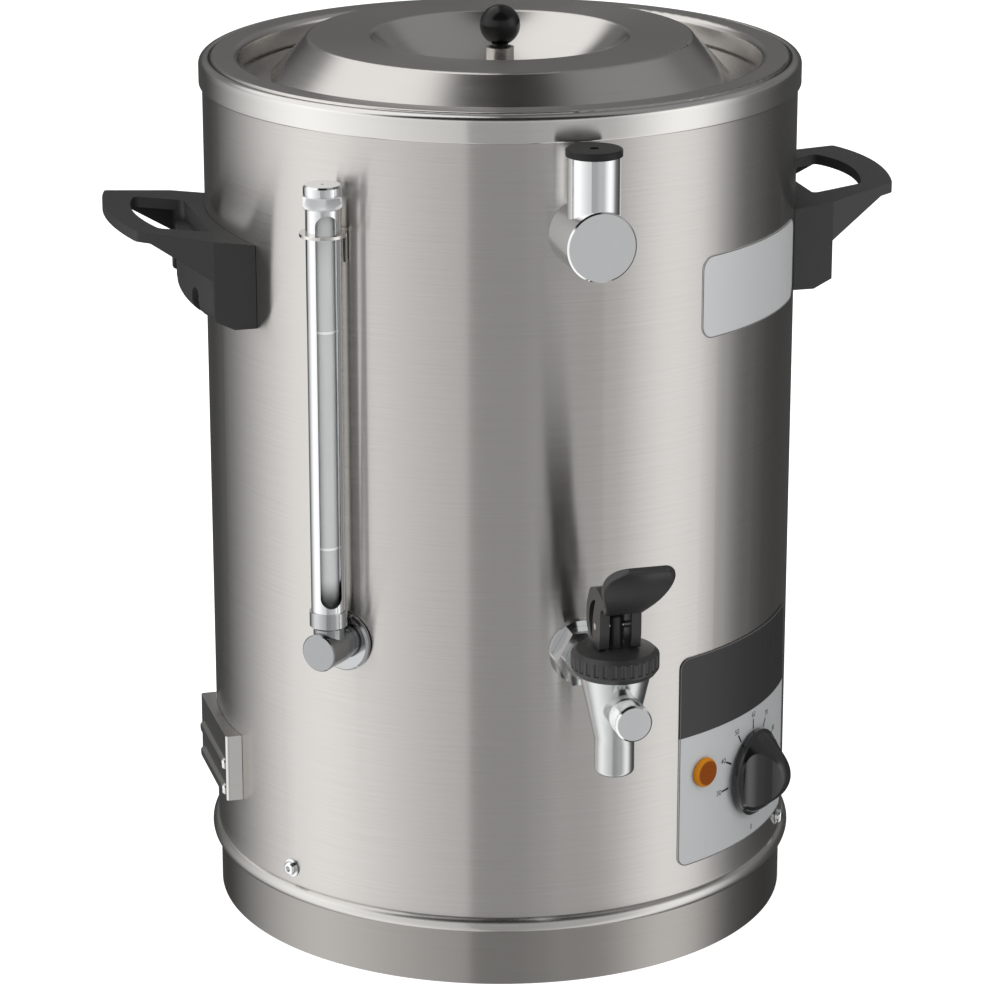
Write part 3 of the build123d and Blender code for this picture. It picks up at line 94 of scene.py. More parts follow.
# plates on the shell: azimuth of the middle and width in degrees, radius of the corners, and how far their
# painted edge shadow line lies in front of the control plate's
PLATES = {
    "control_panel": (41.65, 40.7, 5 * MM, 0.0),
    "label_plate": (44.2, 37.6, 6 * MM, -0.2 * MM),
}
# the plates' painted edge shadow: its inset from the plate's edge, its width and the step of its points
EDGE_INSET = 0.3 * MM
EDGE_WIDTH = 0.45 * MM
EDGE_STEP = 1.5 * MM
TABLE = {"radius": 3.0, "sides": 96, "drop": 0.2 * MM, "glow": 0.62}
SENSOR = 36.0                    # camera's, in mm


# ---- colour and node helpers
def linear(code):
    """Linear RGBA of an sRGB hex value: below 0.04045 divide by 12.92, else ((c + 0.055) / 1.055) ** 2.4."""
    parts = [int(code[i:i + 2], 16) / 255 for i in (1, 3, 5)]
    return tuple(c / 12.92 if c <= 0.04045 else ((c + 0.055) / 1.055) ** 2.4 for c in parts) + (1.0,)


def add(tree, kind, values=None, **settings):
    """Adds a node. values gives its sockets by name or index, each a constant or another node's output."""
    made = tree.nodes.new(kind)
    for name, value in settings.items():
        setattr(made, name, value)
    for name, value in (values or {}).items():
        if isinstance(value, bpy.types.NodeSocket):
            tree.links.new(value, made.inputs[name])
        else:
            made.inputs[name].default_value = value
    return made


def blank_material(name):
    """Material with only a Principled shader and its output; returns both and the tree."""
    material = bpy.data.materials.new(name)
    material.use_nodes = True
    tree = material.node_tree
    tree.nodes.clear()
    shader = add(tree, "ShaderNodeBsdfPrincipled")
    add(tree, "ShaderNodeOutputMaterial", {"Surface": shader.outputs[0]})
    return material, tree, shader


def stretched_noise(tree, size_mm, detail=3.0):
    """Noise on Object coordinates whose grains are size_mm long along each axis."""
    place = add(tree, "ShaderNodeTexCoord").outputs["Object"]
    scale = tuple(1000 / size for size in size_mm)
    mapping = add(tree, "ShaderNodeMapping", {"Vector": place, "Scale": scale})
    values = {"Vector": mapping.outputs[0], "Scale": 1.0, "Detail": detail, "Roughness": 0.55}
    return add(tree, "ShaderNodeTexNoise", values)


def spread(tree, noise, low, high):
    """Noise, which lies mostly between 0.3 and 0.7, spread over low to high."""
    values = {"Value": noise.outputs["Fac"], "From Min": 0.3, "From Max": 0.7, "To Min": low, "To Max": high}
    return add(tree, "ShaderNodeMapRange", values).outputs[0]


def tint(tree, source, dark, light):
    """Colour between two by a source from 0 to 1. Each is a hex value, a property's colour or an output."""
    dark, light = (linear(end) if isinstance(end, str) else end for end in (dark, light))
    return add(tree, "ShaderNodeMix", {0: source, 6: dark, 7: light}, data_type="RGBA").outputs[2]


def set_finish(tree, shader, colour, roughness):
    """Links a colour output and a roughness output to the shader."""
    tree.links.new(colour, shader.inputs["Base Color"])
    tree.links.new(roughness, shader.inputs["Roughness"])


def height_of(tree):
    """Height over the table, from Object coordinates."""
    place = add(tree, "ShaderNodeTexCoord").outputs["Object"]
    return add(tree, "ShaderNodeSeparateXYZ", {"Vector": place}).outputs["Z"]


def lay_grain_round(tree, shader, amount):
    """Metal with grain round the upright axis: the tangent's quarter turn blurs the gloss across it."""
    shader.inputs["Metallic"].default_value = 1.0
    tangent = add(tree, "ShaderNodeTangent", direction_type="RADIAL", axis="Z")
    tree.links.new(tangent.outputs[0], shader.inputs["Tangent"])
    shader.inputs["Anisotropic"].default_value = amount
    shader.inputs["Anisotropic Rotation"].default_value = 0.25


# ---- finishes
def brushed_stainless():
    """Brushed 304 stainless sheet, its grain running round the cylinder: it draws reflections out upwards."""
    material, tree, shader = blank_material("brushed_304_stainless_round_grain")
    grain = stretched_noise(tree, (38.0, 38.0, 0.45))   # grit 240, drawn three times as coarse
    shade = spread(tree, grain, 0.2, 0.8)
    set_finish(tree, shader, tint(tree, shade, "#c6c3bf", "#d1cecb"), spread(tree, grain, 0.22, 0.27))
    lay_grain_round(tree, shader, 1.0)
    return material


def satin_stainless(name, dark, light, rough, anisotropic):
    """Pressed stainless with a satin finish: soft wide highlights and faint drawing marks round the axis."""
    material, tree, shader = blank_material(name)
    marks = stretched_noise(tree, (45.0, 45.0, 1.6), detail=2.0)
    gloss = spread(tree, marks, rough - 0.012, rough + 0.016)
    set_finish(tree, shader, tint(tree, marks.outputs["Fac"], dark, light), gloss)
    lay_grain_round(tree, shader, anisotropic)
    return material


def plinth_stainless():
    """Rolled stainless ring: a satin wall under a bead with a painted highlight, brighter from the bead's
    foot up.
    """
    material, tree, shader = blank_material("rolled_stainless_plinth")
    marks = stretched_noise(tree, (45.0, 45.0, 1.6), detail=2.0)
    foot = PLINTH["shell_foot"] - PLINTH["bead_height"]
    values = {"Value": height_of(tree), "From Min": foot + BEAD_HIGHLIGHT_FADE[0], "From Max": foot + BEAD_HIGHLIGHT_FADE[1]}
    # painted highlight: the bead and what lies above it get the brighter #d2d0cc, the wall below stays darker
    bead = add(tree, "ShaderNodeMapRange", values, interpolation_type="SMOOTHSTEP").outputs[0]
    wall = tint(tree, marks.outputs["Fac"], "#a3a09c", "#a9a6a2")
    set_finish(tree, shader, tint(tree, bead, wall, "#d2d0cc"), spread(tree, marks, 0.21, 0.235))
    lay_grain_round(tree, shader, 0.9)
    return material


def plain_metal(name, dark, light, rough, grain_mm=(3.0, 3.0, 3.0)):
    """Metal with an even finish: its tone and its gloss vary a little, so broad faces aren't dead flat."""
    material, tree, shader = blank_material(name)
    smear = stretched_noise(tree, grain_mm)
    gloss = spread(tree, smear, rough * 0.8, rough * 1.25)
    set_finish(tree, shader, tint(tree, smear.outputs["Fac"], dark, light), gloss)
    shader.inputs["Metallic"].default_value = 1.0
    return material


def moulded_plastic(name, dark, light, rough, grain_mm, depth_mm, coat=0.0, specular=0.5):
    """Injection moulded plastic: spark-eroded grain, of a size and depth in mm, breaks up its highlights."""
    material, tree, shader = blank_material(name)
    grain = stretched_noise(tree, (grain_mm,) * 3, detail=2.0)
    cloud = stretched_noise(tree, (18.0, 18.0, 18.0), detail=2.0)
    gloss = spread(tree, grain, rough * 0.85, rough * 1.15)
    set_finish(tree, shader, tint(tree, cloud.outputs["Fac"], dark, light), gloss)
    shader.inputs["IOR"].default_value = 1.53
    shader.inputs["Specular IOR Level"].default_value = specular
    shader.inputs["Coat Weight"].default_value = coat
    shader.inputs["Coat Roughness"].default_value = 0.04
    relief = {"Height": grain.outputs["Fac"], "Distance": depth_mm * MM, "Strength": 0.6}
    tree.links.new(add(tree, "ShaderNodeBump", relief).outputs[0], shader.inputs["Normal"])
    return material


def rubber(name, dark, light):
    """Moulded silicone or EPDM rubber: soft sheen, no sharp highlight."""
    material, tree, shader = blank_material(name)
    grain = stretched_noise(tree, (0.8, 0.8, 0.8), detail=2.0)
    set_finish(tree, shader, tint(tree, grain.outputs["Fac"], dark, light), spread(tree, grain, 0.55, 0.75))
    shader.inputs["IOR"].default_value = 1.45
    return material


def clear_glass():
    """Drawn gauge glass with a milky back strip, as level glasses have: pale, with a painted reflection of
    the dark fitting below darkening its foot.
    """
    material, tree, shader = blank_material("milk_backed_gauge_glass")
    lines = stretched_noise(tree, (0.9, 0.9, 60.0), detail=1.0)
    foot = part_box("sight_glass")[0][2]
    values = {"Value": height_of(tree), "From Min": foot + GLASS_SHADE_FADE[0], "From Max": foot + GLASS_SHADE_FADE[1]}
    # painted reflection of the dark fitting below: the glass is #4b524f at its foot and turns pale above it
    rise = add(tree, "ShaderNodeMapRange", values, interpolation_type="SMOOTHSTEP").outputs[0]
    pale = tint(tree, lines.outputs["Fac"], "#dcdede", "#e5e6e6")
    set_finish(tree, shader, tint(tree, rise, "#4b524f", pale), spread(tree, lines, 0.04, 0.09))
    shader.inputs["Transmission Weight"].default_value = 0.25
    shader.inputs["IOR"].default_value = 1.47
    return material


def amber_lens():
    """Tinted polycarbonate lens, moulded with prisms behind: deep amber, with a painted highlight in a paler
    rim.
    """
    material, tree, shader = blank_material("amber_polycarbonate_lens")
    prisms = stretched_noise(tree, (1.2, 1.2, 1.2), detail=1.0)
    low, high = (Vector(corner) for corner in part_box("lamp_lens"))
    front = (low + high) / 2 + LAMP_FACE * Vector((sin(LAMP_AZIMUTH), -cos(LAMP_AZIMUTH), 0))
    place = add(tree, "ShaderNodeTexCoord").outputs["Object"]
    away = add(tree, "ShaderNodeVectorMath", {0: place, 1: front}, operation="DISTANCE").outputs["Value"]
    values = {"Value": away, "From Min": LENS_HIGHLIGHT_RING[0], "From Max": LENS_HIGHLIGHT_RING[1]}
    # painted highlight: the lens turns from its amber middle to a paler, lit-looking rim
    rim = add(tree, "ShaderNodeMapRange", values, interpolation_type="SMOOTHSTEP").outputs[0]
    colours = bpy.context.scene.urn_colours
    middle = tint(tree, prisms.outputs["Fac"], colours.lens_dark, colours.lens_light)
    set_finish(tree, shader, tint(tree, rim, middle, colours.lens_highlight_ring), spread(tree, prisms, 0.16, 0.26))
    shader.inputs["Specular IOR Level"].default_value = 0.05
    shader.inputs["IOR"].default_value = 1.58
    return material


def printed_foil():
    """Lacquered aluminium foil, silver grey with a dark printed band above: satin, a little metallic."""
    material, tree, shader = blank_material("printed_aluminium_foil")
    colours = bpy.context.scene.urn_colours
    edge, softness = bpy.context.scene.urn_sizes.print_edge, 0.1 * MM
    values = {"Value": height_of(tree), "From Min": edge - softness, "From Max": edge + softness}
    band = add(tree, "ShaderNodeMapRange", values).outputs[0]
    brush = stretched_noise(tree, (0.5, 0.5, 30.0), detail=2.0)
    grey = tint(tree, brush.outputs["Fac"], colours.plate_dark, colours.plate_light)
    dark = tint(tree, brush.outputs["Fac"], colours.band_dark, colours.band_light)
    set_finish(tree, shader, tint(tree, band, grey, dark), spread(tree, brush, 0.38, 0.46))
    values = {"Value": band, "To Min": 0.3, "To Max": 0.05}
    tree.links.new(add(tree, "ShaderNodeMapRange", values).outputs[0], shader.inputs["Metallic"])
    return material


def satin_foil(name, dark, light):
    """Self-adhesive foil with a satin top lacquer: pale, even, only a little metallic."""
    material, tree, shader = blank_material(name)
    fibre = stretched_noise(tree, (0.5, 0.5, 25.0), detail=2.0)
    set_finish(tree, shader, tint(tree, fibre.outputs["Fac"], dark, light), spread(tree, fibre, 0.34, 0.42))
    shader.inputs["Metallic"].default_value = 0.25
    return material


def printing_ink(name, colour, rough):
    """Screen printing ink: an even opaque film with a slight orange peel."""
    material, tree, shader = blank_material(name)
    peel = stretched_noise(tree, (0.6, 0.6, 0.6), detail=1.0)
    tree.links.new(spread(tree, peel, rough * 0.85, rough * 1.15), shader.inputs["Roughness"])
    shader.inputs["Base Color"].default_value = colour
    return material


FINISHES = {}
# nodes whose own finish differs from the rest of their slot
OWN_FINISHES = {
    "plinth_ring": "plinth_stainless",
    # painted shade: these chrome pieces get copies of the chrome plate that are rougher and also darker, each
    # toned to its piece
    "gauge_rosette": "satin_shaded_chrome",
    "gauge_ferrule": "satin_shaded_chrome",
    "gauge_body": "dull_shaded_chrome",
    "tap_body": "pearl_shaded_chrome",
    "vent_cap": "plug_plastic",
    "lid_knob": "ball_plastic",
}


def make_finishes():
    """Makes all finishes, most by the record's slot."""
    colours = bpy.context.scene.urn_colours
    FINISHES.update({
        "brushed_stainless": brushed_stainless(),
        "satin_stainless": satin_stainless("satin_pressed_stainless", "#d4d1cd", "#d9d6d2", 0.2, 0.8),
        "polished_stainless": satin_stainless("bright_rolled_stainless", "#dcdad6", "#e1dfdc", 0.16, 0.8),
        "plain_steel": plain_metal("mill_finish_stainless", "#a5a39f", "#b3b1ad", 0.35),
        "chrome_plate": plain_metal("bright_chrome_plate_on_brass", "#eaebec", "#eff0f1", 0.05),
        "brass_plain": plain_metal("turned_brass", "#b8924c", "#caa65e", 0.25, (0.6, 0.6, 0.6)),
        "zinc_steel": plain_metal("zinc_plated_steel", "#b3b4b3", "#c4c4c0", 0.22, (1.5, 1.5, 1.5)),
        "handle_plastic": moulded_plastic("grained_polyamide_grip", colours.grip_dark, colours.grip_light,
                                          0.5, 0.5, 0.03),
        "tap_plastic": moulded_plastic("satin_black_polyamide", colours.tap_dark, colours.tap_light,
                                       0.36, 0.4, 0.008),
        "knob_plastic": moulded_plastic("polished_black_phenolic", "#0d0d0d", "#121212",
                                        0.12, 0.8, 0.002, coat=0.6),
        "technical_plastic": moulded_plastic("pale_technical_polyamide", "#b9b4a6", "#c6c2b6",
                                             0.45, 0.6, 0.01),
        "seal_rubber": rubber("black_silicone_seal", "#161616", "#1e1e1e"),
        "seat_silicone": rubber("translucent_silicone", "#b7b5ac", "#c8c6be"),
        "gauge_glass": clear_glass(),
        "foil_print": printed_foil(),
        "plate_foil": satin_foil("bare_satin_foil", "#c2c3c4", "#c9cacb"),
        "amber_lens": amber_lens(),
        "plinth_stainless": plinth_stainless(),
        # painted shade: three copies of the chrome plate, rougher and with darker base colours than
        # chrome_plate
        "satin_shaded_chrome": plain_metal("satin_chrome_plate_on_brass", "#bcbdbe", "#c3c4c5", 0.12),
        "dull_shaded_chrome": plain_metal("dull_chrome_plate_on_brass", "#a0a1a2", "#a7a8a9", 0.14),
        "pearl_shaded_chrome": plain_metal("pearl_chrome_plate_on_brass", "#ced0d0", "#d5d6d6", 0.17),
        "plug_plastic": moulded_plastic("matte_black_polythene_plug", "#131313", "#181818",
                                        0.5, 0.4, 0.008, specular=0.3),
        "ball_plastic": moulded_plastic("black_phenolic_ball", "#0b0b0b", "#101010",
                                        0.2, 0.8, 0.002, specular=0.3),
        "black_ink": printing_ink("black_dial_ink", colours.dial_ink, 0.45),
        # painted shadow along the plates' raised edges, in grey ink
        "edge_shadow_paint": printing_ink("painted_edge_shadow", colours.edge_shadow_tone, 0.45),
        "white_ink": printing_ink("white_gauge_ink", colours.gauge_ink, 0.4),
    })


# ---- meshes worked out with numpy
def solid_from(name, points, faces, ink, body, slot, *stands_for):
    """Object from points (N, 3) and a list of face arrays, turned inside out if its volume is negative: each
    face is fanned into triangles, and their corners' triple products add up to six volumes."""
    rows = [row for group in faces for row in group.tolist()]
    volume = 0.0
    for group in faces:
        for step in range(1, group.shape[1] - 1):
            first, second, third = (points[group[:, corner]] for corner in (0, step, step + 1))
            volume += np.einsum("ij,ij->", first, np.cross(second, third))
    if volume < 0:
        rows = [row[::-1] for row in rows]
    mesh = bpy.data.meshes.new(name)
    mesh.from_pydata(points.tolist(), [], rows)
    mesh.validate()
    mesh.materials.append(FINISHES[ink])
    thing = bpy.data.objects.new(name, mesh)
    bpy.context.scene.collection.objects.link(thing)
    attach(thing, body)
    if stands_for:
        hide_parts(*stands_for)
    return thing


def grid_faces(rows, columns, rows_closed):
    """Quads of a grid whose columns close on themselves; its rows may do so too."""
    row = np.arange(rows if rows_closed else rows - 1)[:, None]
    column = np.arange(columns)[None, :]
    after, beside = (row + 1) % rows, (column + 1) % columns
    here, there = row * columns, after * columns
    corners = [here + column, here + beside, there + beside, there + column]
    return np.stack([np.broadcast_to(c, (row.shape[0], columns)).ravel() for c in corners], axis=1)


def resampled(profile, step):
    """Profile (radius, height) with points no further apart than step, its own corners kept."""
    profile = np.asarray(profile, float)
    pieces = []
    for start, end in zip(profile[:-1], profile[1:]):
        count = max(1, int(np.ceil(np.hypot(*(end - start)) / step)))
        pieces.append(start + (end - start) * np.linspace(0, 1, count, endpoint=False)[:, None])
    return np.vstack(pieces + [profile[-1:]])


def diamond_knurl(turn, height, count, pitch):
    """Height of a diamond knurl, 0 to 1: the lower of two triangle waves that wind opposite ways round."""
    def wave(phase):
        return 1 - np.abs(2 * (phase % 1.0) - 1)
    around = count * turn / (2 * pi)
    return np.minimum(wave(around + height / pitch), wave(around - height / pitch))


def turned(radius, height, turn):
    """Points (N, 3) at a radius from the upright axis, a height and a turn round it, row by row."""
    around = radius * np.cos(turn), radius * np.sin(turn)
    return np.stack([*around, np.broadcast_to(height, around[0].shape)], axis=2).reshape(-1, 3)


def knurled_surface(profile, band, count, pitch, depth, around):
    """Points of a profile (radius, height) turned round. Between the band's ends, outside its inner radius,
    the radius loses depth times one minus the knurl, faded in over half a pitch from each end."""
    turn = np.linspace(0, 2 * pi, around, endpoint=False)[None, :]
    radius, height = profile[:, :1], profile[:, 1:2]
    low, high, inner = band
    fade = np.clip(np.minimum(height - low, high - height) / (0.5 * pitch), 0, 1) * (radius > inner)
    return turned(radius - depth * fade * (1 - diamond_knurl(turn, height, count, pitch)), height, turn)


def rounded_corners(corners, radii, turns=9):
    """Closed profile whose corners are arcs: an arc of radius r starts r / tan(half the corner's angle) away
    from the corner, and its middle lies on the corner's bisector."""
    corners = np.asarray(corners, float)
    pieces = []
    neighbours = np.roll(corners, 1, 0), np.roll(corners, -1, 0)
    for corner, before, after, radius in zip(corners, *neighbours, radii):
        if radius == 0:
            pieces.append(corner[None, :])
            continue
        back = (before - corner) / np.hypot(*(before - corner))
        ahead = (after - corner) / np.hypot(*(after - corner))
        half = np.arccos(np.clip(back @ ahead, -1, 1)) / 2
        middle = corner + radius / np.sin(half) * (back + ahead) / np.hypot(*(back + ahead))
        start = corner + radius / np.tan(half) * back - middle
        end = corner + radius / np.tan(half) * ahead - middle
        part = np.linspace(0, 1, turns)[:, None]
        span = pi - 2 * half
        arc = np.sin((1 - part) * span) * start + np.sin(part * span) * end
        pieces.append(middle + arc / np.sin(span))
    return np.vstack(pieces)


def arc_through(start, top, end, count=21):
    """Points of the circle through three points, from start over top to end."""
    (ax, ay), (bx, by), (cx, cy) = start, top, end
    twice = 2 * (ax * (by - cy) + bx * (cy - ay) + cx * (ay - by))
    squares = ax * ax + ay * ay, bx * bx + by * by, cx * cx + cy * cy
    mid_x = (squares[0] * (by - cy) + squares[1] * (cy - ay) + squares[2] * (ay - by)) / twice
    mid_y = (squares[0] * (cx - bx) + squares[1] * (ax - cx) + squares[2] * (bx - ax)) / twice
    turns = np.unwrap([np.arctan2(y - mid_y, x - mid_x) for x, y in (start, top, end)])
    turn = np.interp(np.linspace(0, 2, count), (0, 1, 2), turns)
    radius = np.hypot(ax - mid_x, ay - mid_y)
    return np.column_stack([mid_x + radius * np.cos(turn), mid_y + radius * np.sin(turn)])


def turned_ring(name, profile, finish, slot, node):
    """Ring whose closed profile (radius, height) is turned round the urn's axis and shaded smooth."""
    turn = np.linspace(0, 2 * pi, RING_STEPS, endpoint=False)[None, :]
    points = turned(profile[:, :1], profile[:, 1:2], turn)
    faces = [grid_faces(len(profile), RING_STEPS, True)]
    thing = solid_from(name, points, faces, finish, "urn", slot, node)
    thing.data.polygons.foreach_set("use_smooth", np.ones(len(thing.data.polygons), bool))
    thing.data.set_sharp_from_angle(angle=SMOOTH_UP_TO)


def wrapped(across, up, out, azimuth, level):
    """Puts flat coordinates on the shell: across becomes an azimuth, up a height and out a distance."""
    turn = azimuth + across / SHELL
    reach = SHELL + out
    return np.stack([reach * np.sin(turn), -reach * np.cos(turn), level + up], axis=-1)


def ribbon(path, width, closed):
    """Corners of a thin flat band along a path (N, 2), four a point as across, up and out, with out 0 or 1:
    half the width to each side, square to the line between a point's two neighbours."""
    ahead = np.roll(path, -1, 0) - np.roll(path, 1, 0)
    if not closed:
        ahead[0], ahead[-1] = path[1] - path[0], path[-1] - path[-2]
    side = np.stack([-ahead[:, 1], ahead[:, 0]], axis=1)
    side *= 0.5 * width / np.hypot(side[:, 0], side[:, 1])[:, None]
    around = ((-1, 0), (1, 0), (1, 1), (-1, 1))
    corners = [np.column_stack([path + hand * side, np.full(len(path), out)]) for hand, out in around]
    return np.stack(corners, axis=1)


def band_ends(count):
    """Faces that close the two ends of a band with count rows of four corners."""
    return np.array([[3, 2, 1, 0], 4 * count - 4 + np.arange(4)])


def printed_line(path, width, azimuth, level, closed=False):
    """Points and faces of a printed line on the shell's plates: a thin band along a path in metres."""
    corners = ribbon(path, width, closed)
    count = len(path)
    out = PRINT_BACK + corners[..., 2] * PRINT_THICK
    points = wrapped(corners[..., 0], corners[..., 1], out, azimuth, level).reshape(-1, 3)
    faces = [grid_faces(count, 4, closed)]
    if not closed:
        faces.append(band_ends(count))
    return points, faces


def joined(parts):
    """One set of points and faces from several."""
    points, faces, start = [], [], 0
    for some_points, some_faces in parts:
        points.append(some_points)
        faces += [group + start for group in some_faces]
        start += len(some_points)
    return np.vstack(points), faces


def rounded_rectangle(half_width, half_height, corner, step):
    """Closed path of a rounded rectangle: four quarter circles joined by sides cut into steps."""
    pieces = []
    corner_points = 8
    for quarter in range(4):
        turn = quarter * pi / 2 + np.linspace(0, pi / 2, corner_points)
        sign_x, sign_y = (1, -1, -1, 1)[quarter], (1, 1, -1, -1)[quarter]
        centre = np.array([sign_x * (half_width - corner), sign_y * (half_height - corner)])
        pieces.append(centre + corner * np.column_stack([np.cos(turn), np.sin(turn)]))
    return resampled(np.vstack(pieces + [pieces[0][:1]]), step)[:-1]


# ---- sizes, colours and light
def real(name, default, description, **kind):
    """Property for a number, whose unit or subtype kind gives."""
    return FloatProperty(name=name, description=description, default=default, **kind)


def length(name, default, description):
    """Property for a length in metres."""
    return real(name, default, description, unit="LENGTH")


def colour(name, code, description):
    """Property for a colour, its default given as an sRGB hex value."""
    return FloatVectorProperty(name=name, description=description, default=linear(code), size=4, min=0.0,
                               max=1.0, subtype="COLOR")


class UrnSizes(bpy.types.PropertyGroup):
    """Sizes of the pieces made here and places of print."""
    print_edge: length("Print edge", 0.1084, "Height of the dark band's lower edge")
    tick_from: length("Tick from", 0.0208, "Distance of the dial's marks from its middle")
    tick_length: length("Tick length", 0.0048, "Length of the dial's marks")
    tick_width: length("Tick width", 0.0009, "Width of the dial's marks")
    number_height: length("Number height", 0.0026, "Height of the dial's numbers")
    number_reach: length("Number distance", 0.0278, "Distance of the numbers from the dial's middle")
    knurl_depth: length("Knurl depth", 0.0005, "Depth of the knurl's grooves")
    screw_teeth: IntProperty(name="Screw knurl", default=32, description="Diamonds round the flow screw")
    cap_teeth: IntProperty(name="Cap knurl", default=44, description="Diamonds round the gauge's cap")


class UrnColours(bpy.types.PropertyGroup):
    """Colours of moulded, printed and tinted pieces, and of painted highlight and shadow. A finish clouds
    between its dark and its light one.
    """
    grip_dark: colour("Grip, dark", "#282828", "The two grips")
    grip_light: colour("Grip, light", "#2e2e2e", "The two grips")
    tap_dark: colour("Tap, dark", "#2a2a2a", "The tap's lever and bonnet")
    tap_light: colour("Tap, light", "#313131", "The tap's lever and bonnet")
    lens_dark: colour("Lens, dark", "#783804", "The lamp's lens")
    lens_light: colour("Lens, light", "#884405", "The lamp's lens")
    # painted highlight on the lens's rim
    lens_highlight_ring: colour("Lens highlight", "#bd781c", "The lens's rim, which looks lit")
    plate_dark: colour("Control plate, dark", "#b7b9ba", "The control plate's foil")
    plate_light: colour("Control plate, light", "#bfc1c2", "The control plate's foil")
    band_dark: colour("Band, dark", "#242424", "The control plate's printed band")
    band_light: colour("Band, light", "#292929", "The control plate's printed band")
    dial_ink: colour("Dial ink", "#161616", "Marks and numbers of the dial")
    # painted shadow along the plates' raised edges
    edge_shadow_tone: colour("Edge shadow", "#5a5a5a", "Edge lines of both plates")
    gauge_ink: colour("Gauge ink", "#f2f2f2", "Level marks of the gauge")
    table: colour("Table", "#f0f0f0", "Table that the urn stands on")


class UrnLight(bpy.types.PropertyGroup):
    """Light tent round the urn and the camera's place."""
    dark_level: real("Dark level", 0.068, "Light from between the soft boxes")
    wall_level: real("Wall level", 0.12, "Light from the walls above the boxes")
    top_level: real("Top level", 0.022, "Light from the ceiling")
    diffuse_level: real("Soft level", 0.68, "Even light on dull surfaces")
    camera_azimuth: real("Camera azimuth", radians(-15.27), "Camera's turn from the tap towards +X",
                         subtype="ANGLE")
    camera_reach: length("Camera reach", 1.7314, "Camera's level distance from the urn's axis")
    camera_height: length("Camera height", 0.7473, "Camera's height over the table")
    camera_pitch: real("Camera pitch", radians(17.95), "Angle that the camera looks down", subtype="ANGLE")
    camera_lens: real("Camera lens", 139.46, "Focal length on a 36 mm sensor, in mm")


def upright(node):
    """Middle (x, y), radius, foot and top of an upright round node."""
    low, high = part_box(node)
    return ((low[0] + high[0]) / 2, (low[1] + high[1]) / 2), (high[0] - low[0]) / 2, low[2], high[2]


# ---- operators
class URN_OT_frame_finishes(bpy.types.Operator):
    """Gives every CAD node the finish of its slot"""
    bl_idname = "urn.frame_finishes"
    bl_label = "Finish the frame"

    def execute(self, context):
        make_finishes()
        for part in frame["record"]["subparts"]:
            mesh = NODES[part["node"]].data
            mesh.materials.clear()
            mesh.materials.append(FINISHES[OWN_FINISHES.get(part["node"], part["material_slot"])])
        return {"FINISHED"}


class URN_OT_flow_screw(bpy.types.Operator):
    """Turns and knurls the flow screw in the front of the tap"""
    bl_idname = "urn.flow_screw"
    bl_label = "Flow screw"

    def execute(self, context):
        sizes = context.scene.urn_sizes
        low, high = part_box("thumb_screw")
        radius = (high[0] - low[0]) / 2
        face, back = -low[1], -high[1]
        head, shank, chamfer, crown = 10 * MM, 2.5 * MM, 0.8 * MM, 0.25 * MM
        pole = 0.02 * MM             # radius of the small ring round each end's middle point
        start, rim = face - head, radius - chamfer
        # the face is crowned: it falls with the square of the distance from its middle
        dome = np.linspace(rim, pole, 14)
        crowned = np.column_stack([dome, face - crown * (dome / rim) ** 2])
        profile = [(pole, back), (shank, back), (shank, start), (rim, start), (radius, start + chamfer),
                   (radius, face - crown - chamfer), *crowned.tolist()]
        profile = resampled(profile, SURFACE_STEP)
        band = (start + chamfer, face - crown - 1.4 * chamfer, 0.9 * radius)
        pitch = 2 * pi * radius / sizes.screw_teeth
        around = FACES_PER_TOOTH * sizes.screw_teeth
        surface = knurled_surface(profile, band, sizes.screw_teeth, pitch, sizes.knurl_depth, around)
        height = (low[2] + high[2]) / 2
        points = np.column_stack([surface[:, 0], -surface[:, 2], height + surface[:, 1]])
        rows, poles = len(profile), len(points)      # poles: number of the first end's middle point
        ring = np.arange(around)
        beside = (ring + 1) % around
        first = np.column_stack([np.full(around, poles), beside, ring])
        last_row = (rows - 1) * around
        last = np.column_stack([ring + last_row, beside + last_row, np.full(around, poles + 1)])
        points = np.vstack([points, [0, -back, height], [0, -face, height]])
        faces = [grid_faces(rows, around, False), first, last]
        solid_from("knurled_flow_screw", points, faces, "chrome_plate", "flow_screw", "chrome_plate",
                   "thumb_screw")
        return {"FINISHED"}


class URN_OT_gauge_cap(bpy.types.Operator):
    """Turns and knurls the cap of the level gauge"""
    bl_idname = "urn.gauge_cap"
    bl_label = "Gauge cap"

    def execute(self, context):
        sizes = context.scene.urn_sizes
        middle, radius, foot, top = upright("gauge_cap")
        band_height, neck, bore, bore_depth = 5.7 * MM, 8.4 * MM, 7.65 * MM, 6.4 * MM
        vent, chamfer = 0.6 * MM, 0.8 * MM
        groove, belly_end, belly_power = 0.25 * MM, 1.06, 0.45
        shoulder = foot + band_height
        # belly: the neck's radius plus the band's depth times a half sine wave raised to belly_power
        belly = np.linspace(0, 1, 26)
        swell = np.sin(pi * np.clip(belly * belly_end, 0, 1)) ** belly_power
        barrel = np.column_stack([neck + (radius - neck) * swell, foot + band_height * belly])
        profile = [(vent, foot + bore_depth), (bore, foot + bore_depth), (bore, foot), *barrel.tolist(),
                   (neck - groove, shoulder + 0.05 * MM), (neck - groove, shoulder + 0.35 * MM),
                   (neck, shoulder + 0.5 * MM), (neck, top - chamfer), (neck - chamfer, top), (vent, top)]
        profile = resampled(profile + profile[:1], SURFACE_STEP)[:-1]
        pitch = 2 * pi * radius / sizes.cap_teeth
        band = (foot + 0.1 * MM, shoulder, 0.98 * neck)
        around = FACES_PER_TOOTH * sizes.cap_teeth
        depth = 0.8 * sizes.knurl_depth      # finer than the screw's
        surface = knurled_surface(profile, band, sizes.cap_teeth, pitch, depth, around)
        points = surface + np.array([middle[0], middle[1], 0])
        solid_from("knurled_gauge_cap", points, [grid_faces(len(profile), around, True)], "chrome_plate",
                   "gauge_plug", "chrome_plate", "gauge_cap")
        return {"FINISHED"}


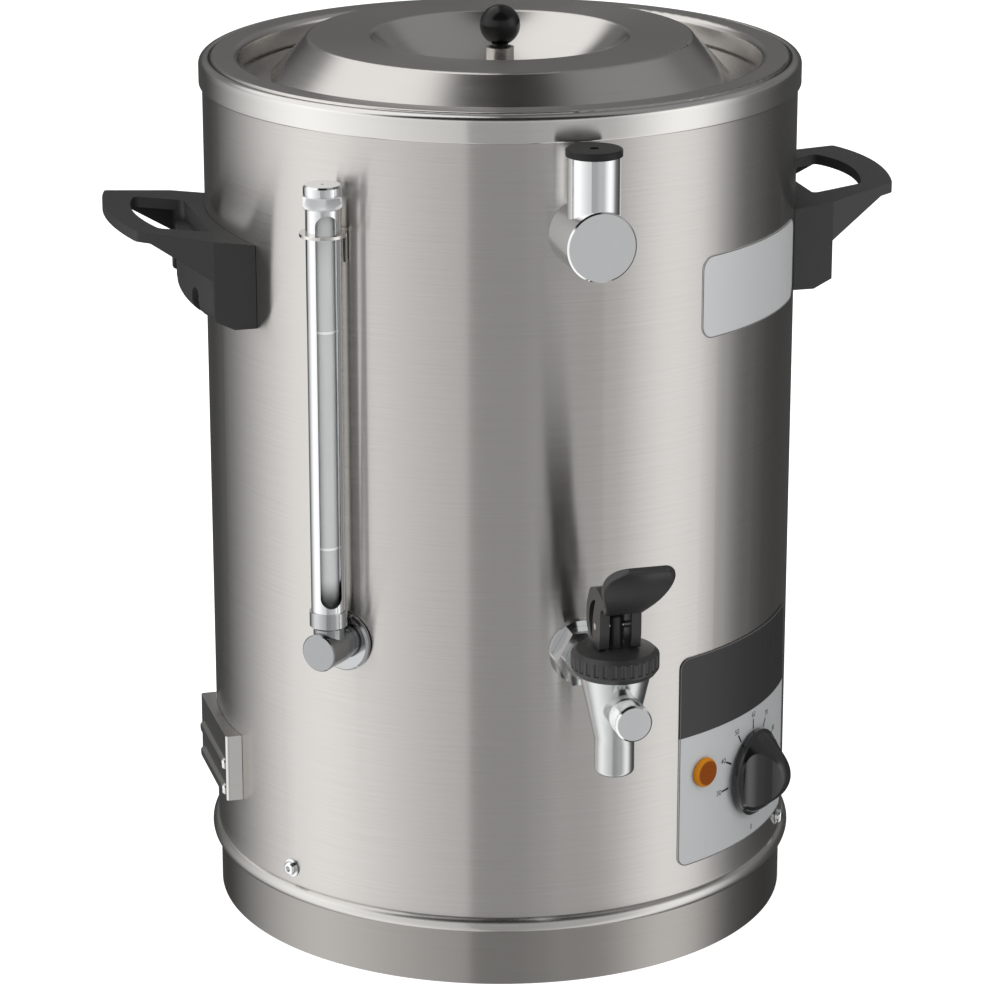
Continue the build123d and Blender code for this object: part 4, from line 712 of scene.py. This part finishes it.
class URN_OT_spring(bpy.types.Operator):
    """Winds the tap's return spring at one length; the real spring shortens as the valve lifts"""
    bl_idname = "urn.spring"
    bl_label = "Return spring"

    def execute(self, context):
        middle, radius, foot, top = upright("tap_spring")
        wire, turns, sides, steps = 0.6 * MM, 4, 8, 28       # wire's radius, turns, faces round it and a turn
        coil, rise = radius - wire, top - foot - 2 * wire
        # helix of the wire's middle, with a ring across it in the plane of its outward and binormal axes
        turn = np.linspace(0, 2 * pi * turns, steps * turns + 1)
        outward = np.column_stack([np.cos(turn), np.sin(turn), np.zeros_like(turn)])
        slope = rise / (2 * pi * turns)
        ahead = np.column_stack([-coil * np.sin(turn), coil * np.cos(turn), np.full_like(turn, slope)])
        ahead /= np.hypot(coil, slope)
        beside = np.cross(ahead, outward)
        line = coil * outward + np.column_stack([np.full_like(turn, middle[0]), np.full_like(turn, middle[1]),
                                                 foot + wire + rise * turn / turn[-1]])
        ring = np.linspace(0, 2 * pi, sides, endpoint=False)[None, :, None]
        tube = line[:, None] + wire * (np.cos(ring) * outward[:, None] + np.sin(ring) * beside[:, None])
        last = len(turn) * sides
        caps = np.array([np.arange(sides)[::-1], np.arange(last - sides, last)])
        faces = [grid_faces(len(turn), sides, False), caps]
        spring = solid_from("wound_tap_spring", tube.reshape(-1, 3), faces, "zinc_steel", "urn", "zinc_steel",
                            "tap_spring")
        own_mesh(spring)
        return {"FINISHED"}


def plain_number(text, height):
    """Points and faces of a number, centred, one unit of depth thick: a text curve made a mesh."""
    curve = bpy.data.curves.new("number", "FONT")
    curve.body = text
    curve.size = TEXT_SIZE * height
    curve.align_x, curve.align_y = "CENTER", "CENTER"
    curve.extrude = 0.5
    curve.resolution_u = 4
    thing = bpy.data.objects.new("number", curve)
    bpy.context.scene.collection.objects.link(thing)
    mesh = bpy.data.meshes.new_from_object(thing)
    bpy.data.objects.remove(thing)
    shape = bmesh.new()
    shape.from_mesh(mesh)
    bmesh.ops.remove_doubles(shape, verts=shape.verts, dist=1e-6)
    bmesh.ops.triangulate(shape, faces=shape.faces)
    points = np.array([vert.co[:] for vert in shape.verts])
    shape.verts.index_update()
    faces = np.array([[vert.index for vert in face.verts] for face in shape.faces])
    shape.free()
    return points, faces


class URN_OT_dial(bpy.types.Operator):
    """Prints marks and numbers round the thermostat's knob"""
    bl_idname = "urn.dial"
    bl_label = "Dial"

    def execute(self, context):
        sizes = context.scene.urn_sizes
        parts = []
        for step in range(-3, 4):
            turn = radians(DIAL_STEP * step)
            ray = np.array([sin(turn), cos(turn)])
            path = ray * np.linspace(sizes.tick_from, sizes.tick_from + sizes.tick_length, 4)[:, None]
            parts.append(printed_line(path, sizes.tick_width, DIAL_AZIMUTH, DIAL_HEIGHT))
        numbers = [(str(10 * (step + 6)), DIAL_STEP * step) for step in range(-3, 4)] + [("0", 180.0)]
        for text, turn in numbers:
            points, faces = plain_number(text, sizes.number_height)
            across = points[:, 0] + sizes.number_reach * sin(radians(turn))
            up = points[:, 1] + sizes.number_reach * cos(radians(turn))
            out = PRINT_BACK + (points[:, 2] + 0.5) * PRINT_THICK
            parts.append((wrapped(across, up, out, DIAL_AZIMUTH, DIAL_HEIGHT), [faces]))
        points, faces = joined(parts)
        solid_from("dial_print", points, faces, "black_ink", "urn", "foil_print")
        return {"FINISHED"}


class URN_OT_plate_edges(bpy.types.Operator):
    """Lays thin dark lines along the edges of the control plate and of the bare foil plate: painted shadow of
    their raised edges
    """
    bl_idname = "urn.plate_edges"
    bl_label = "Plate edges"

    def execute(self, context):
        for node, (middle, plate_width, corner, forward) in PLATES.items():
            low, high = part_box(node)
            half_width, half_height = SHELL * sin(radians(plate_width) / 2), (high[2] - low[2]) / 2
            flat = rounded_rectangle(half_width - EDGE_INSET, half_height - EDGE_INSET, corner - EDGE_INSET,
                                     EDGE_STEP)
            path = np.column_stack([SHELL * np.arcsin(flat[:, 0] / SHELL), flat[:, 1]])
            level = (low[2] + high[2]) / 2
            points, faces = printed_line(path, EDGE_WIDTH, radians(middle), level, closed=True)
            reach = np.hypot(points[:, 0], points[:, 1])[:, None]
            points[:, :2] *= (reach + forward) / reach
            # a grey line of painted shadow along the plate's raised edge
            solid_from(node + "_edge", points, faces, "edge_shadow_paint", "urn", "foil_print")
        return {"FINISHED"}


class URN_OT_gauge_marks(bpy.types.Operator):
    """Prints the two level marks on the gauge's glass"""
    bl_idname = "urn.gauge_marks"
    bl_label = "Gauge marks"

    def execute(self, context):
        middle, radius = upright("sight_glass")[:2]
        back, front, half = 0.01 * MM, 0.06 * MM, 0.55 * MM
        half_turn, steps = radians(62), 40
        parts = []
        turn = np.linspace(-half_turn, half_turn, steps)
        for height in MARK_HEIGHTS:
            rows = []
            for out, up in ((back, -half), (front, -half), (front, half), (back, half)):
                reach = radius + out
                across, ahead = middle[0] + reach * np.sin(turn), middle[1] - reach * np.cos(turn)
                rows.append(np.column_stack([across, ahead, np.full(steps, height + up)]))
            points = np.stack(rows, axis=1).reshape(-1, 3)
            parts.append((points, [grid_faces(steps, 4, False), band_ends(steps)]))
        points, faces = joined(parts)
        solid_from("gauge_marks", points, faces, "white_ink", "urn", "gauge_glass")
        return {"FINISHED"}


class URN_OT_collar(bpy.types.Operator):
    """Turns the collar: a channel over the shell's edge with a ledge inside"""
    bl_idname = "urn.collar"
    bl_label = "Collar"

    def execute(self, context):
        low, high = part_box("collar_ring")
        foot, top, outside = low[2], high[2], high[0]
        rim_width, sheet, ledge_depth, ledge_width = 4.6 * MM, 1.0 * MM, 4.6 * MM, 6.9 * MM
        foot_round, outer_round, inner_round, fold_round = 0.7 * MM, 3.2 * MM, 0.9 * MM, 0.3 * MM
        gap, step = 0.05 * MM, 1.5 * MM
        inside, ledge, channel = outside - rim_width, top - ledge_depth, top - 1.2 * sheet
        ledge_inside = inside - ledge_width
        corners = [(outside, foot), (outside, top), (inside, top), (inside, ledge), (ledge_inside, ledge),
                   (ledge_inside, ledge - sheet), (inside + sheet, ledge - sheet), (inside + sheet, channel),
                   (SHELL + gap, channel), (SHELL + gap, foot)]
        radii = [foot_round, outer_round, inner_round, 0, 0, 0, fold_round, 0, 0, 0]
        profile = resampled(rounded_corners(corners, radii), step)
        turned_ring("turned_collar", profile, "polished_stainless", "polished_stainless", "collar_ring")
        return {"FINISHED"}


class URN_OT_plinth(bpy.types.Operator):
    """Turns the plinth: a standing wall with a hem, a rolled bead and an upstand inside the shell"""
    bl_idname = "urn.plinth"
    bl_label = "Plinth"

    def execute(self, context):
        wall, sheet, hem, shell_foot = (PLINTH[size] for size in ("wall", "sheet", "hem", "shell_foot"))
        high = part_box("plinth_ring")[1]
        bead, stand_top = high[0], high[2]
        stand = SHELL - PLINTH["shell_sheet"]
        stand_inside, wall_inside = stand - sheet, wall - sheet
        bead_foot = shell_foot - PLINTH["bead_height"]
        middle = (bead_foot + shell_foot) / 2
        step = 2.0 * MM
        outer = arc_through((wall, bead_foot), (bead, middle), (SHELL, shell_foot))
        fold = stand_inside, shell_foot - sheet
        inner = arc_through(fold, (bead - sheet, middle), (wall_inside, bead_foot))
        upstand = [(stand, shell_foot), (stand, stand_top), (stand_inside, stand_top)]
        profile = np.vstack([[(wall - hem, 0), (wall, 0)], outer, upstand, inner,
                             [(wall_inside, sheet), (wall - hem, sheet)]])
        turned_ring("turned_plinth", resampled(profile, step), "plinth_stainless", "polished_stainless",
                    "plinth_ring")
        return {"FINISHED"}


def soft_box(tree, azimuth, start, end, soft_start, soft_end, level):
    """Light panel of the tent between two azimuths: a ramp up at its start times a ramp down at its end."""
    ramps = []
    for edge, soft, low, high in ((start, soft_start, 0.0, 1.0), (end, soft_end, level, 0.0)):
        values = {"Value": azimuth, "From Min": radians(edge - soft), "From Max": radians(edge + soft),
                  "To Min": low, "To Max": high}
        ramps.append(add(tree, "ShaderNodeMapRange", values, interpolation_type="SMOOTHSTEP").outputs[0])
    return add(tree, "ShaderNodeMath", {0: ramps[0], 1: ramps[1]}, operation="MULTIPLY").outputs[0]


def sum_of_boxes(tree, azimuth, boxes, ground):
    """Light of all boxes of a row at an azimuth, on a ground level."""
    total = ground
    for box in boxes.values():
        light = soft_box(tree, azimuth, *box)
        total = add(tree, "ShaderNodeMath", {0: light, 1: total}, operation="ADD").outputs[0]
    return total


# soft boxes of the tent: azimuths of the two edges, from the camera's side, and their softness, in degrees,
# and the level
SOFT_BOXES = {
    "left_key": (-110, -53, 42, 50, 0.72),
    "left_fill": (-110, -12, 40, 1.0, 0.61),
    "lens_gap": (-12, 11, 2, 1, 0.345),
    "right_fill": (11, 101, 1.0, 38, 0.385),
    "right_key": (53, 94, 20, 16, 0.74),
    "gap_edge": (20, 40, 4, 6, 0.07),
}
# boxes hung high: they light what faces up, such as the lid
HIGH_BOXES = {
    "high_left": (-172, -58, 14, 12, 1.10),
    "high_right": (62, 172, 14, 20, 0.28),
}
# the walls' light comes up, and the high boxes take over from the rest, between these sines of the elevation
WALL_RISE = (0.05, 0.3)
CEILING = (0.42, 0.62)
# lamps: azimuth from the tap and elevation in degrees, distance from the urn's middle, size and power
LAMPS = {
    "overhead_lamp": (-40, 62, 2.0, 1.2, 15.0),
    "right_lamp": (60, 30, 2.2, 0.7, 9.0),
}
LAMP_AIM = 0.2                   # height that the lamps point at, in m


def make_tent(light):
    """World: white to the camera and through glass, a tent of soft boxes to metal, even light to the rest."""
    world = bpy.data.worlds.new("light_tent")
    bpy.context.scene.world = world
    world.use_nodes = True
    tree = world.node_tree
    tree.nodes.clear()
    direction = add(tree, "ShaderNodeTexCoord").outputs["Generated"]
    split = add(tree, "ShaderNodeSeparateXYZ", {"Vector": direction})
    back = add(tree, "ShaderNodeMath", {0: split.outputs["Y"], 1: -1.0}, operation="MULTIPLY").outputs[0]
    angle = add(tree, "ShaderNodeMath", {0: split.outputs["X"], 1: back}, operation="ARCTAN2").outputs[0]
    turned = add(tree, "ShaderNodeMath", {0: angle, 1: light.camera_azimuth}, operation="SUBTRACT").outputs[0]
    azimuth = add(tree, "ShaderNodeMath", {0: turned, 1: pi, 2: -pi}, operation="WRAP").outputs[0]
    total = sum_of_boxes(tree, azimuth, SOFT_BOXES, light.dark_level)
    high = sum_of_boxes(tree, azimuth, HIGH_BOXES, light.top_level)
    values = {"Value": split.outputs["Z"], "From Min": WALL_RISE[0], "From Max": WALL_RISE[1],
              "To Min": 0.0, "To Max": light.wall_level}
    wall = add(tree, "ShaderNodeMapRange", values, interpolation_type="SMOOTHSTEP").outputs[0]
    total = add(tree, "ShaderNodeMath", {0: total, 1: wall}, operation="ADD").outputs[0]
    values = {"Value": split.outputs["Z"], "From Min": CEILING[0], "From Max": CEILING[1]}
    rise = add(tree, "ShaderNodeMapRange", values, interpolation_type="SMOOTHSTEP").outputs[0]
    tent = add(tree, "ShaderNodeMix", {0: rise, 2: total, 3: high}, data_type="FLOAT")
    rays = add(tree, "ShaderNodeLightPath").outputs
    values = {0: rays["Is Glossy Ray"], 2: light.diffuse_level, 3: tent.outputs[0]}
    level = add(tree, "ShaderNodeMix", values, data_type="FLOAT")
    values = {0: rays["Is Camera Ray"], 1: rays["Is Transmission Ray"]}
    seen = add(tree, "ShaderNodeMath", values, operation="MAXIMUM")
    values = {0: seen.outputs[0], 2: level.outputs[0], 3: 1.0}
    strength = add(tree, "ShaderNodeMix", values, data_type="FLOAT")
    background = add(tree, "ShaderNodeBackground", {"Color": (1, 1, 1, 1), "Strength": strength.outputs[0]})
    add(tree, "ShaderNodeOutputWorld", {"Surface": background.outputs[0]})


def make_floor():
    """White table: a large disc a hair below height 0, white to the camera apart from the urn's shadow."""
    radius, sides = TABLE["radius"], TABLE["sides"]
    turn = np.linspace(0, 2 * pi, sides, endpoint=False)
    corners = np.stack([radius * np.cos(turn), radius * np.sin(turn), np.full(sides, -TABLE["drop"])], axis=1)
    mesh = bpy.data.meshes.new("white_table")
    mesh.from_pydata(corners.tolist(), [], [list(range(sides))])
    floor = bpy.data.objects.new("white_table", mesh)
    bpy.context.scene.collection.objects.link(floor)
    material, tree, shader = blank_material("white_table_paint")
    shader.inputs["Base Color"].default_value = bpy.context.scene.urn_colours.table
    shader.inputs["Roughness"].default_value = 0.8
    rays = add(tree, "ShaderNodeLightPath").outputs
    seen = add(tree, "ShaderNodeMath", {0: rays["Is Camera Ray"], 1: TABLE["glow"]}, operation="MULTIPLY")
    tree.links.new(seen.outputs[0], shader.inputs["Emission Strength"])
    shader.inputs["Emission Color"].default_value = (1.0, 1.0, 1.0, 1.0)
    mesh.materials.append(material)
    floor.visible_glossy = False


def make_lamp(name, azimuth, elevation, reach, size, power):
    """Square soft lamp at an azimuth from the tap and an elevation, turned to the urn's middle."""
    azimuth, elevation = radians(azimuth), radians(elevation)
    lamp = bpy.data.lights.new(name, "AREA")
    lamp.energy = power
    lamp.size = size
    thing = bpy.data.objects.new(name, lamp)
    bpy.context.scene.collection.objects.link(thing)
    level = reach * cos(elevation)
    thing.location = (level * sin(azimuth), -level * cos(azimuth), LAMP_AIM + reach * sin(elevation))
    thing.rotation_euler = Euler((pi / 2 - elevation, 0, azimuth), "XYZ")
    thing.visible_glossy = False


class URN_OT_stage(bpy.types.Operator):
    """Sets up table, light tent, lamps and camera"""
    bl_idname = "urn.stage"
    bl_label = "Set the stage"

    def execute(self, context):
        light = context.scene.urn_light
        make_tent(light)
        make_floor()
        for name, lamp in LAMPS.items():
            make_lamp(name, *lamp)
        camera = bpy.data.cameras.new("camera")
        camera.sensor_width = SENSOR
        camera.lens = light.camera_lens
        camera.clip_end = 20.0
        thing = bpy.data.objects.new("camera", camera)
        context.scene.collection.objects.link(thing)
        azimuth = light.camera_azimuth
        thing.location = (light.camera_reach * sin(azimuth), -light.camera_reach * cos(azimuth),
                          light.camera_height)
        thing.rotation_euler = Euler((pi / 2 - light.camera_pitch, 0, azimuth), "XYZ")
        context.scene.camera = thing
        context.scene.view_settings.view_transform = "Standard"
        return {"FINISHED"}


class URN_PT_panel(bpy.types.Panel):
    """Lists the urn's operators, sizes, colours and light"""
    bl_label = "Urn"
    bl_idname = "URN_PT_panel"
    bl_space_type = "VIEW_3D"
    bl_region_type = "UI"
    bl_category = "Urn"

    def draw(self, context):
        for operator in OPERATORS:
            self.layout.operator(operator.bl_idname)
        for group, kind in GROUPS.items():
            for name in kind.__annotations__:
                self.layout.prop(getattr(context.scene, group), name)


OPERATORS = (URN_OT_frame_finishes, URN_OT_collar, URN_OT_plinth, URN_OT_flow_screw, URN_OT_gauge_cap,
             URN_OT_spring, URN_OT_dial, URN_OT_plate_edges, URN_OT_gauge_marks, URN_OT_stage)
GROUPS = {"urn_sizes": UrnSizes, "urn_colours": UrnColours, "urn_light": UrnLight}
CLASSES = (*GROUPS.values(), *OPERATORS, URN_PT_panel)


def register():
    for item in CLASSES:
        bpy.utils.register_class(item)
    for name, kind in GROUPS.items():
        setattr(bpy.types.Scene, name, PointerProperty(type=kind))


def unregister():
    for name in GROUPS:
        delattr(bpy.types.Scene, name)
    for item in reversed(CLASSES):
        bpy.utils.unregister_class(item)


def main():
    """Registers the add-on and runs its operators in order."""
    register()
    bpy.ops.urn.frame_finishes()
    bpy.ops.urn.collar()
    bpy.ops.urn.plinth()
    bpy.ops.urn.flow_screw()
    bpy.ops.urn.gauge_cap()
    bpy.ops.urn.spring()
    bpy.ops.urn.dial()
    bpy.ops.urn.plate_edges()
    bpy.ops.urn.gauge_marks()
    bpy.ops.urn.stage()


if __name__ == "__main__":
    main()
